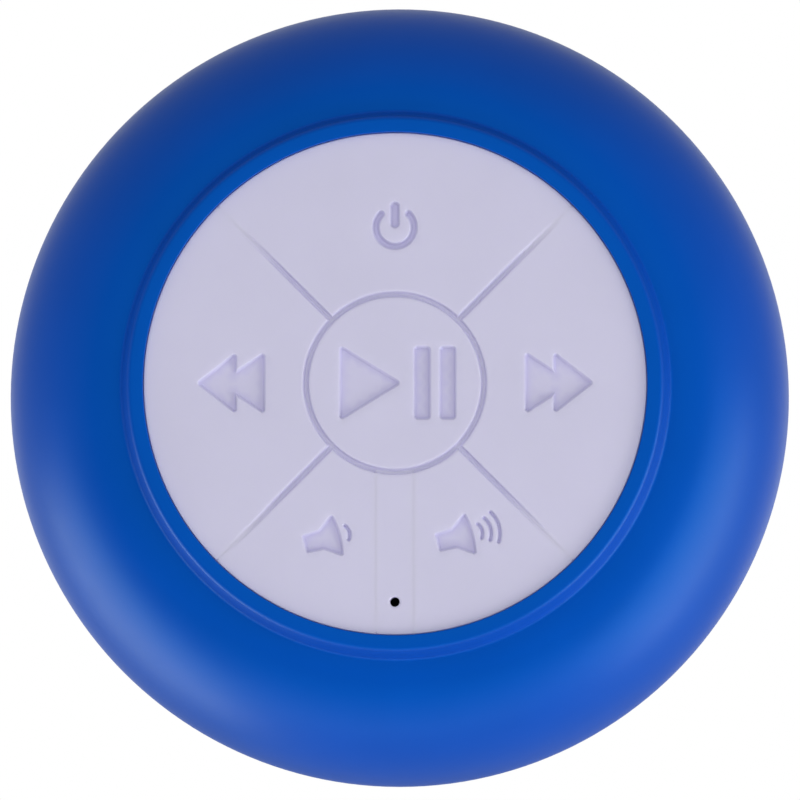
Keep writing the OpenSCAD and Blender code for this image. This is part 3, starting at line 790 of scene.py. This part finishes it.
def case_radius(z):
    """Outer radius of the case at a height behind its widest plane."""
    t = np.clip((WIDE_Z - z) / (WIDE_Z - REAR_Z), 0, 1)
    return REAR_R + (CASE_R - REAR_R) * np.sqrt(1 - t * t)


def tube(radius, hole, z0, z1, steps=32):
    """A short tube with chamfered ends."""
    edge = 0.15
    return lathe(
        [
            (radius, z0 + edge), (radius, z1 - edge), (radius - edge, z1), (hole + edge, z1),
            (hole, z1 - edge), (hole, z0 + edge), (hole + edge, z0), (radius - edge, z0),
        ],
        steps,
    )


def front_shell(material):
    """Front half of the case, with the raised ring and its rounded edges."""
    outside = quarter(CREASE_R, CREASE_Z)
    outside[-1] = (CREASE_R - 0.15, CREASE_Z, 0.5)
    ring = [
        (BEZEL_R, TOP_Z - 1.7, 0.6), (BEZEL_R - 0.45, TOP_Z - 0.08, 0.6), (LIP_R, TOP_Z, 0.12),
        (LIP_R, PAD_Z, 0.12),
        (FLANGE_R + 0.05, PAD_Z, 0.12), (FLANGE_R + 0.05, CREASE_Z - WALL, 0.25),
    ]
    inside = quarter(CREASE_R, CREASE_Z, WALL)[::-1]
    inside[-1] = (CASE_R - WALL, WIDE_Z, 0.0)
    foot = [(CASE_R - WALL, SEAM_Z, 0.1), (float(case_radius(SEAM_Z)), SEAM_Z, 0.14)]
    shape = lathe(rounded([*outside, *ring, *inside, *foot]))
    shape.join(copies(tube(POST_R, POST_HOLE, *POST_Z), POST_RING, CORNERS))
    boss = tube(BOSS_R, BOSS_HOLE, KEY_BOARD_TOP, BOSS_TOP)
    shape.join(copies(boss, BOSS_RING, (0, 90, 180, 270)))
    return piece("front_shell_skin", shape, material, "case", ["front_shell"])


def peg(radius, z0, z1, steps):
    """A plain round peg on the axis."""
    return lathe([(0, z0), (radius, z0), (radius, z1), (0, z1)], steps)


def slot_cutter(z0, z1):
    """A sound slot's prism, flared where it meets the rear plate's surface."""
    levels = []
    for z, grow in ((z0 - 1, 0.36), (z0, 0.36), (z0 + 0.12, 0.18), (z0 + 0.36, 0.0), (z1, 0.0)):
        outline = stadium(SLOT_LENGTH + 2 * grow, SLOT_WIDTH + 2 * grow, 12)
        levels.append([(x, y, z) for x, y in outline])
    return loft(levels)


def port_prism(width, height, inner, outer):
    """A prism with round ends that runs downwards, across the axis."""
    outline = stadium(width, height, 24)
    return loft([[(x, -y, PORT_Z + z) for x, z in outline] for y in (inner, outer)])


def pocket_block():
    """The block round the charging pocket, which ends inside the case's wall."""
    side = POCKET_W / 2 + 1.6
    inner = POCKET_FLOOR - 1.4
    levels = []
    for z in np.linspace(PORT_Z - POCKET_H / 2 - 1.6, SEAM_Z - 0.2, 9):
        outer = math.sqrt(case_radius(z) ** 2 - side**2) - 0.1
        corners = [(-side, -outer), (side, -outer), (side, -inner), (-side, -inner)]
        levels.append([(x, y, z) for x, y in corners])
    return loft(levels)


def back_cover(material):
    """Rear half of the case: slots, screw holes, port pocket and the collar for the cup's hub."""
    outside = quarter(REAR_R, REAR_Z)
    outside[0] = (float(case_radius(SEAM_Z)), SEAM_Z, 0.14)
    outside = [p for p in outside if p[1] <= SEAM_Z]
    outside[-1] = (REAR_R, REAR_Z, 0.0)
    rear = [
        (COLLAR_R, REAR_Z, 0.35), (COLLAR_R, REAR_Z - COLLAR_H, 0.3),
        (HUB_R, REAR_Z - COLLAR_H, 0.3), (HUB_R, REAR_Z, 0.1),
        (STUD_HOLE, REAR_Z, 0.15), (STUD_HOLE, REAR_TOP, 0.15),
        (SEAT_IN, REAR_TOP, 0.2), (SEAT_IN, FRAME_Z - SEAT_GAP, 0.15),
        (SEAT_OUT, FRAME_Z - SEAT_GAP, 0.15), (SEAT_OUT, REAR_TOP, 0.3),
    ]
    inside = [p for p in quarter(REAR_R, REAR_Z, WALL)[::-1] if p[1] < SEAM_Z - 2.6]
    spigot = [
        (SPIGOT_R - 1.8, SEAM_Z - 2.6, 0.2), (SPIGOT_R - 1.8, SEAM_Z + 3.6, 0.3),
        (SPIGOT_R, SEAM_Z + 3.6, 0.3), (SPIGOT_R, SEAM_Z + 2.4, 0.1),
        (SPIGOT_R - 0.8, SEAM_Z + 2.4, 0.1), (SPIGOT_R - 0.8, SEAM_Z + 1.2, 0.1),
        (SPIGOT_R, SEAM_Z + 1.2, 0.1), (SPIGOT_R, SEAM_Z, 0.1),
    ]
    body = lathe(rounded([*outside, *rear, *inside, *spigot]))

    tower = lathe([(0, 17.5), (3.7, 17.5), (3.9, POST_Z[0]), (0, POST_Z[0])], 32)
    ear = peg(EAR_R, REAR_TOP - 0.3, FRAME_Z, 32)
    main_post = peg(MAIN_POST_R, REAR_TOP - 0.3, MAIN_Z, 32)
    added = pocket_block()
    added.join(copies(tower, POST_RING, CORNERS))
    added.join(copies(ear, EAR_RING, CORNERS))
    added.join(copies(main_post, MAIN_POST_RING, MAIN_POST_TURNS))

    bore = lathe([
        (0, 10), (SCREW_HEAD_R, 10), (SCREW_HEAD_R, SCREW_HEAD_Z), (SCREW_HOLE, SCREW_HEAD_Z),
        (SCREW_HOLE, 24), (0, 24),
    ], 48)
    slot_turns = np.arange(SLOT_COUNT) * 360 / SLOT_COUNT
    cut = copies(slot_cutter(REAR_Z, REAR_TOP + 1), SLOT_RING, slot_turns, turned=True)
    cut.join(copies(bore, POST_RING, CORNERS))
    cut.join(copies(peg(EAR_HOLE, 14.2, 20, 24), EAR_RING, CORNERS))
    cut.join(copies(peg(MAIN_POST_HOLE, 22.5, 30, 24), MAIN_POST_RING, MAIN_POST_TURNS))
    cut.join(port_prism(POCKET_W, POCKET_H, POCKET_FLOOR, 46))
    tunnel = port_prism(PLUG_HOLE_W, PLUG_HOLE_H, 30, 46)
    steps = [(added, "UNION"), (cut, "DIFFERENCE"), (tunnel, "DIFFERENCE")]
    mesh = combined(body, steps)
    return dress("back_cover_skin", mesh, material, "case", ["back_cover"], 32)


# ---------------------------------------------------------------------------------------------
# Keypad


def arrow(tip, length, half_h):
    """A triangle with rounded corners that points along +x."""
    corners = [(tip, 0, 0.22), (tip - length, half_h, 0.22), (tip - length, -half_h, 0.22)]
    return rounded(corners, 0.08)


def volume_icon(waves):
    """A loudspeaker with sound waves, its back edge on the origin."""
    back, waist, mouth = (0.0, 0.88), (1.8, 0.97), (3.53, 2.19)
    bulge = 0.27
    bulge_r = (mouth[1] ** 2 + bulge**2) / (2 * bulge)
    reach = math.degrees(math.asin(mouth[1] / bulge_r))
    front = arc_points(bulge_r, -reach, reach, 0.3) + (mouth[0] + bulge - bulge_r, 0)
    corners = [
        (*back, 0.15), (back[0], -back[1], 0.15), (waist[0], -waist[1], 0.3),
        (*front[0], 0.15), *[(x, y, 0.0) for x, y in front[1:-1]], (*front[-1], 0.15),
        (*waist, 0.3),
    ]
    loops = [rounded(corners, 0.08)]
    for k in range(waves):
        half_h = 0.76 + 0.435 * k
        sagitta = 0.27 + 0.1 * k
        radius = (half_h**2 + sagitta**2) / (2 * sagitta)
        reach = math.degrees(math.asin(half_h / radius))
        loops.append(arc_stroke(radius, -reach, reach, 0.23) + (4.85 + 0.92 * k - radius, 0))
    return loops


def play_icon():
    """A triangle and two bars."""
    loops = [arrow(0.6, 6.4, 3.9)]
    for x in (2.1, 4.8):
        corners = [(x, -3.8, 0.3), (x + 1.6, -3.8, 0.3), (x + 1.6, 3.8, 0.3), (x, 3.8, 0.3)]
        loops.append(rounded(corners, 0.08))
    return loops


def power_icon():
    """A broken ring with a bar through its gap."""
    ring = arc_stroke(2.03, 136, 405, 0.57) + (0.0, 16.58)
    bar = turned(stadium(2.65, 0.82), 90, (0.0, 17.9))
    return [ring, bar]


def next_icon():
    """Two triangles that point away from the middle of the face."""
    return [arrow(18.75, 4.9, 3.2), arrow(20.95, 4.1, 3.2)]


def make_icons():
    """The outlines engraved in each key."""
    after = next_icon()
    return {
        "play": play_icon(),
        "power": power_icon(),
        "next": after,
        "previous": [(loop * (-1, 1))[::-1] for loop in after],
        "volume_down": [turned(loop, 15.5, (-9.5, -17.1)) for loop in volume_icon(1)],
        "volume_up": [turned(loop, 15.5, (4.55, -16.95)) for loop in volume_icon(3)],
    }


def face_height(points, icons):
    """Level of the keypad's face: flat, less the grooves, the icons and the rounded rim."""
    x, y = points[:, 0], points[:, 1]
    r = np.hypot(x, y)
    level = np.full(len(points), FACE_Z)
    if icons:
        level -= ICON_DEPTH * smooth_step(-distance(points, icons), -ICON_EDGE / 2, ICON_EDGE / 2)
    ring = 1 - smooth_step(np.abs(r - RING_R), GROOVE_FLAT, GROOVE_HALF)
    spoke_gap = np.abs(np.abs(x) - np.abs(y)) / math.sqrt(2)
    fade = 1 - smooth_step(r, FADE_FROM, FADE_TO)
    spoke = (1 - smooth_step(spoke_gap, GROOVE_FLAT, GROOVE_HALF)) * fade * (r > RING_R)
    level -= GROOVE_DEPTH * np.maximum(ring, spoke)
    over = np.clip(r - (PAD_R - RIM_ROUND), 0, RIM_ROUND)
    level -= RIM_ROUND - np.sqrt(np.maximum(RIM_ROUND**2 - over**2, 0))
    from_mic = np.hypot(x - MIC[0], y - MIC[1])
    level -= 0.14 * (1 - smooth_step(from_mic, MIC_R, MIC_R + 0.16))
    return level


def rays(angle, r0, r1, step=0.4):
    """Points on a straight line from the middle of the face, at an angle."""
    count = math.ceil((r1 - r0) / step)
    radii = np.linspace(r0, r1, count + 1)
    return np.column_stack([radii * math.cos(angle), radii * math.sin(angle)])


def sector_loop(start, end):
    """The edge of a pad between two angles in degrees, just clear of its neighbours."""
    start += SLIT
    end -= SLIT
    outer = arc_points(PAD_R, start, end, 0.4)
    inner = arc_points(RING_R, end, start, 0.3)
    back = rays(math.radians(end), RING_R, PAD_R)[::-1][1:-1]
    out = rays(math.radians(start), RING_R, PAD_R)[1:-1]
    return np.vstack([outer, back, inner, out])


def strip_side(side):
    """Points down one side of the microphone strip, from the ring groove to the rim."""
    x = side * STRIP_HALF
    top = -math.sqrt(RING_R**2 - STRIP_HALF**2)
    low = -math.sqrt(PAD_R**2 - STRIP_HALF**2)
    count = math.ceil((top - low) / 0.4)
    return np.column_stack([np.full(count + 1, x), np.linspace(top, low, count + 1)])


def half_sector_loop(side):
    """The edge of a volume key, beside the microphone strip on one side, -1 or 1."""
    tilt = math.degrees(math.asin(STRIP_HALF / PAD_R))
    inner_tilt = math.degrees(math.asin(STRIP_HALF / RING_R))
    end = 315 - SLIT
    outer = arc_points(PAD_R, 270 + tilt, end, 0.4)
    back = rays(math.radians(end), RING_R, PAD_R)[::-1][1:-1]
    inner = arc_points(RING_R, end, 270 + inner_tilt, 0.3)
    right = np.vstack([outer, back, inner, strip_side(1)[1:-1]])
    return right if side > 0 else (right * (-1, 1))[::-1]


def strip_loop():
    """The edge of the strip between the volume keys."""
    tilt = math.degrees(math.asin(STRIP_HALF / PAD_R))
    inner_tilt = math.degrees(math.asin(STRIP_HALF / RING_R))
    outer = arc_points(PAD_R, 270 - tilt, 270 + tilt, 0.4)
    inner = arc_points(RING_R, 270 + inner_tilt, 270 - inner_tilt, 0.3)
    right = strip_side(1)[::-1][1:-1]
    left = strip_side(-1)[1:-1]
    return np.vstack([outer, right, inner, left])


def face_points(edge, icons, holes=()):
    """Points inside a pad's edge: rows beside its edges and its icons, then a plain grid."""
    found = []
    fine_edge = divided(edge, 0.25)
    for offset in (0.07, 0.14, 0.21, 0.28, 0.35, 0.45, 0.62):
        row = beside(fine_edge, -offset)
        gap = distance(row, [edge])
        found.append(row[np.abs(gap + offset) < 0.02])
    if icons:
        half = ICON_EDGE / 2
        for loop in icons:
            fine = divided(loop, 0.12)
            for offset in np.linspace(-1.15 * half, 1.15 * half, 7):
                row = beside(fine, offset)
                gap = distance(row, icons)
                found.append(row[np.abs(gap - offset) < 0.012])
    for hole in holes:
        for grow in (1.1, 1.2, 1.32, 1.6, 2.4):
            found.append(hole * grow - (grow - 1) * hole.mean(0))
    fixed = np.vstack(found)

    spacing = 0.9
    low, high = edge.min(0), edge.max(0)
    across = np.arange(low[0], high[0], spacing)
    up = np.arange(low[1], high[1], spacing * 0.87)
    grid = np.array([
        (x + spacing / 2 * (k % 2), y) for k, y in enumerate(up) for x in across
    ])
    grid = grid[distance(grid, [edge]) < -0.85]
    if icons:
        grid = grid[np.abs(distance(grid, icons)) > 0.4]
    for hole in holes:
        grid = grid[distance(grid, [hole]) > 0.8]
    return np.vstack([fixed, grid])


def plunger(place):
    """The short pin under a key that presses its switch."""
    x, y = place
    return moved(lathe([(0, 52.17), (1.7, 52.17), (1.9, 52.37), (1.9, 53.0), (0, 53.0)], 40), x, y)


def key(edge, icons, place):
    """One key: its engraved pad and its plunger."""
    shape = relief([edge], face_points(edge, icons), lambda p: face_height(p, icons), PAD_Z)
    return shape.join(plunger(place))


def make_keypad(material):
    """The six keys and the fixed part between and around them."""
    icons = make_icons()
    pads = {
        "play": (arc_points(RING_R, 0, 360, 0.3)[:-1], (0, 0)),
        "power": (sector_loop(45, 135), (0, 16.5)),
        "previous": (sector_loop(135, 225), (-17.4, 0)),
        "next": (sector_loop(315, 405), (17.4, 0)),
        "volume_down": (half_sector_loop(-1), (-8.2, -17)),
        "volume_up": (half_sector_loop(1), (8.2, -17)),
    }
    for name, (edge, place) in pads.items():
        shape = key(edge, icons[name], place)
        node = "key_" + name
        side = {"volume_down": -1, "volume_up": 1}.get(name, 0)
        body = "" if side else node
        made = piece(node + "_pad", shape, material, body, [node])
        mark_recess_shade(made, icons[name])
        if side:
            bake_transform(made)

    edge = strip_loop()
    hole = arc_points(MIC_R, 0, 360, 0.1)[:-1] + MIC
    strip = relief(
        [edge, hole[::-1]], face_points(edge, [], [hole]), lambda p: face_height(p, []), 51.4
    )
    rim = lathe(rounded([
        (26.0, KEY_BOARD_TOP, 0.2), (FLANGE_R, KEY_BOARD_TOP, 0.2), (FLANGE_R, PAD_Z, 0.15),
        (PAD_R + 0.08, PAD_Z, 0.1), (PAD_R + 0.08, 52.2, 0.1), (26.0, 52.2, 0.15),
    ]))
    return piece("keypad_strip", strip.join(rim), material, "case",
                 ["keypad_web"])


# ---------------------------------------------------------------------------------------------
# Suction cup, speaker and port cover


def suction_cup(material):
    """Soft bell with a thin lip, a thick middle and a hub that enters the collar."""
    lip_in = 28.8
    roof = []
    for r in np.linspace(0, lip_in, 97):
        ridge = sum(1 - smooth_step(abs(r - middle), 0.1, 0.8) for middle in (17.4, 21.0, 24.6))
        roof.append((r, 6.5 * (1 - (r / lip_in) ** 2) - 0.22 * ridge, 0.0))
    outside = [
        (30.0, 0.0, 0.2), (29.9, 1.0, 0.4), (24.5, 4.3, 6.0), (19.0, 7.0, 8.0),
        (13.5, 9.1, 5.0), (9.4, 10.2, 0.8), (9.0, 11.2, 0.5), (9.0, REAR_Z, 0.3), (0.0, REAR_Z, 0.0),
    ]
    roof[-1] = (lip_in, 0.0, 0.3)
    shape = lathe(rounded([*roof, *outside], 0.25))
    return piece("suction_cup_bell", shape, material, "case", ["suction_cup"], 50)


def spider(material):
    """Corrugated cloth disc, dished so that its inner edge can move with the coil."""
    seat = FRAME_Z + 6.82
    dish = 0.66
    thick = 0.28
    wave = 0.13
    pitch = 1.2
    r = np.linspace(6.64, 12.2, 90)
    free = smooth_step(r, 6.9, 7.6) * (1 - smooth_step(r, 10.0, 10.8))
    z = seat - dish * (1 - smooth_step(r, 6.9, 10.9)) + wave * free * np.sin(2 * math.pi * r / pitch)
    shape = lathe([*zip(r, z), *zip(r[::-1], z[::-1] + thick)])
    disc = piece("spider_disc", shape, material, "", ["spider"], 60)
    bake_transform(disc)
    return disc


def cover_height(points):
    """Distance of the port cover's face below the axis: the case's surface, with a nail notch."""
    x, v = points[:, 0], points[:, 1]
    level = np.sqrt(case_radius(PORT_Z + v) ** 2 - x**2) - 0.03
    inside = -distance(points, [stadium(POCKET_W - 0.2, POCKET_H - 0.2)])
    over = np.clip(0.3 - inside, 0, 0.3)
    level -= 0.3 - np.sqrt(0.09 - over**2)
    notch = smooth_step(v, 1.6, 2.7) * smooth_step(-np.abs(x), -3.1, -1.9)
    return level - 0.55 * notch


def usb_cover(material):
    """Soft cover that fills the pocket, with a boss behind it and a strap at its rear edge."""
    edge = divided(stadium(POCKET_W - 0.2, POCKET_H - 0.2), 0.25)
    rows = []
    for offset in (0.05, 0.1, 0.16, 0.23, 0.3, 0.5):
        row = beside(edge, -offset)
        rows.append(row[np.abs(distance(row, [edge]) + offset) < 0.02])
    grid = np.array([
        (x, v) for x in np.arange(-6, 6, 0.22) for v in np.arange(-3.1, 3.1, 0.16)
    ])
    rows.append(grid[distance(grid, [edge]) < -0.6])
    shape = relief(
        [edge], np.vstack(rows), cover_height, COVER_BACK, lambda u, v, h: (u, -h, PORT_Z + v)
    )
    levels = []
    for depth, shrink in ((-0.1, 0.0), (1.3, 0.0), (1.65, 0.15), (1.8, 0.45)):
        outline = stadium(9.6 - 2 * shrink, 4.2 - 2 * shrink)
        levels.append([(x, -(COVER_BACK - depth), PORT_Z + z) for x, z in outline])
    shape.join(loft(levels))
    cover = piece("usb_cover_flap", shape, material, "usb_cover", ["usb_cover"], 40)

    path = [(-39.6, 24.62), (-40.3, 24.64), (-40.9, 24.9), (-41.1, 25.4), (-41.15, 25.9)]
    levels = []
    for k, (y, z) in enumerate(path):
        ahead = np.array(path[min(k + 1, len(path) - 1)]) - np.array(path[max(k - 1, 0)])
        side = np.array([-ahead[1], ahead[0]]) / np.linalg.norm(ahead) * 0.16
        levels.append([
            (-2.6, y + side[0], z + side[1]), (2.6, y + side[0], z + side[1]),
            (2.6, y - side[0], z - side[1]), (-2.6, y - side[0], z - side[1]),
        ])
    strap = piece("usb_cover_strap", loft(levels), material, "")
    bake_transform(strap)
    return cover


# ---------------------------------------------------------------------------------------------
# Stage


def around_axis(clock, off_axis, far):
    """A place in the drawing frame, off the face's axis by one angle and round it by another."""
    side = far * math.sin(math.radians(off_axis))
    return (
        side * math.cos(math.radians(clock)),
        side * math.sin(math.radians(clock)),
        far * math.cos(math.radians(off_axis)) + WIDE_Z,
    )


def area_light(name, place, size, power, target=(0, 0, 40), shines=True):
    """A soft square light at a place of the drawing frame, aimed at another. It shows in gloss
    only if it shines.
    """
    data = bpy.data.lights.new(name, "AREA")
    data.shape = "SQUARE"
    data.size = size
    data.energy = power
    thing = bpy.data.objects.new(name, data)
    bpy.context.scene.collection.objects.link(thing)
    thing.location = at(*place)
    aim = Vector(at(*target)) - thing.location
    thing.rotation_euler = aim.to_track_quat("-Z", "Y").to_euler()
    thing.visible_camera = False
    thing.visible_glossy = shines


def grey_ramp(tree, value, levels):
    """A grey background whose level follows a value, from (position, level) stops."""
    ramp = tree.nodes.new("ShaderNodeValToRGB")
    tree.links.new(value, ramp.inputs["Fac"])
    while len(ramp.color_ramp.elements) < len(levels):
        ramp.color_ramp.elements.new(0.5)
    for element, (position, level) in zip(ramp.color_ramp.elements, levels):
        element.position = position
        element.color = (level, level, level, 1)
    background = tree.nodes.new("ShaderNodeBackground")
    tree.links.new(ramp.outputs["Color"], background.inputs["Color"])
    return background.outputs["Background"]


def either(tree, value, first, second):
    """The first shader where value is 0, the second where it is 1."""
    mixed = tree.nodes.new("ShaderNodeMixShader")
    tree.links.new(value, mixed.inputs["Fac"])
    tree.links.new(first, mixed.inputs[1])
    tree.links.new(second, mixed.inputs[2])
    return mixed.outputs["Shader"]


def make_world():
    """A studio's surround. It lights the object softly from the front, less from the sides and
    below, and shows as a pale backdrop, white behind the object.
    """
    world = bpy.data.worlds.new("surround")
    bpy.context.scene.world = world
    world.use_nodes = True
    tree = world.node_tree
    place = tree.nodes.new("ShaderNodeTexCoord")
    split = tree.nodes.new("ShaderNodeSeparateXYZ")
    tree.links.new(place.outputs["Generated"], split.inputs["Vector"])
    depth = tree.nodes.new("ShaderNodeMapRange")
    depth.inputs["From Min"].default_value = -1
    depth.inputs["From Max"].default_value = 1
    tree.links.new(split.outputs["Y"], depth.inputs["Value"])
    light = grey_ramp(tree, depth.outputs["Result"], [
        (0.0, 1.95), (0.03, 1.6), (0.09, 0.80), (0.22, 0.62), (0.42, 0.27), (0.82, 0.25),
        (0.92, 0.55), (0.972, 1.0),
    ])
    height = tree.nodes.new("ShaderNodeMapRange")
    height.inputs["From Min"].default_value = -0.22
    height.inputs["From Max"].default_value = -0.14
    tree.links.new(split.outputs["Z"], height.inputs["Value"])
    ground = grey_ramp(tree, height.outputs["Result"], [(0.0, 0.30), (1.0, 0.30)])
    backdrop = grey_ramp(tree, depth.outputs["Result"], [(0.80, 0.74), (0.95, 1.0)])
    ray = tree.nodes.new("ShaderNodeLightPath")
    lit = either(tree, height.outputs["Result"], ground, light)
    shown = either(tree, ray.outputs["Is Camera Ray"], lit, backdrop)
    tree.links.new(shown, tree.nodes["World Output"].inputs["Surface"])


def make_floor():
    """A pale glowing floor well below the speaker, which hangs on a wall and isn't lit by it."""
    radius, drop, thick = 3000, -550, 20
    shape = lathe([(0, drop), (radius, drop), (radius, drop - thick), (0, drop - thick)], 96)
    mesh = bpy.data.meshes.new("floor")
    mesh.from_pydata([(x * MM, y * MM, z * MM) for x, y, z in shape.points], [], shape.faces)
    mesh.shade_smooth()
    floor = bpy.data.objects.new("floor", mesh)
    paint = plain_noise("pale_floor", (0.80, 0.80, 0.80), (0.55, 0.7), 0.01, 60, 2, 0.02)
    paint.set(Emission_Color=(1.0, 1.0, 1.0, 1.0), Emission_Strength=0.38)
    mesh.materials.append(paint.material)
    floor.visible_diffuse = False
    floor.visible_glossy = False
    bpy.context.scene.collection.objects.link(floor)


def make_camera():
    """A long lens a little below the axis and to the right of it."""
    pixels = 800
    far = 507.0
    scale = 9.03
    azimuth, elevation = math.radians(1.3), math.radians(-4.0)
    data = bpy.data.cameras.new("camera")
    data.sensor_width = 36
    data.lens = scale * far * data.sensor_width / pixels
    data.clip_start = 0.01
    data.clip_end = 20
    thing = bpy.data.objects.new("camera", data)
    bpy.context.scene.collection.objects.link(thing)
    back = Vector((
        math.sin(azimuth) * math.cos(elevation),
        -math.cos(azimuth) * math.cos(elevation),
        math.sin(elevation),
    ))
    aim = Vector(at(0.05, -0.29, WIDE_Z))
    thing.location = aim + back * far * MM
    thing.rotation_euler = (-back).to_track_quat("-Z", "Y").to_euler()
    bpy.context.scene.camera = thing


def make_stage():
    make_world()
    make_floor()
    make_camera()
    area_light("right_box", around_axis(333, 79, 480), 0.42, 1.85)
    area_light("left_box", around_axis(217, 96, 480), 0.42, 1.6)
    area_light("low_box", around_axis(268, 62, 800), 0.90, 3.0)
    area_light("rear_wash", (-60, 120, -680), 0.30, 2.4, target=(0, 0, 0), shines=False)
    bpy.context.scene.view_settings.view_transform = "Standard"


# ---------------------------------------------------------------------------------------------

materials = make_materials()
slots = {part["node"]: part["material_slot"] for part in frame["record"]["subparts"]}
for node_name, node_object in frame["nodes"].items():
    node_object.data.materials.clear()
    node_object.data.materials.append(materials[slots[node_name]])
frame["nodes"]["microphone"].data.materials[0] = microphone_can()

front_shell(materials["soft_touch"])
back_cover(materials["soft_touch"])
make_keypad(materials["keypad_silicone"])
suction_cup(materials["cup_rubber"])
usb_cover(materials["blue_rubber"])
spider(materials["spider_cloth"])
make_stage()
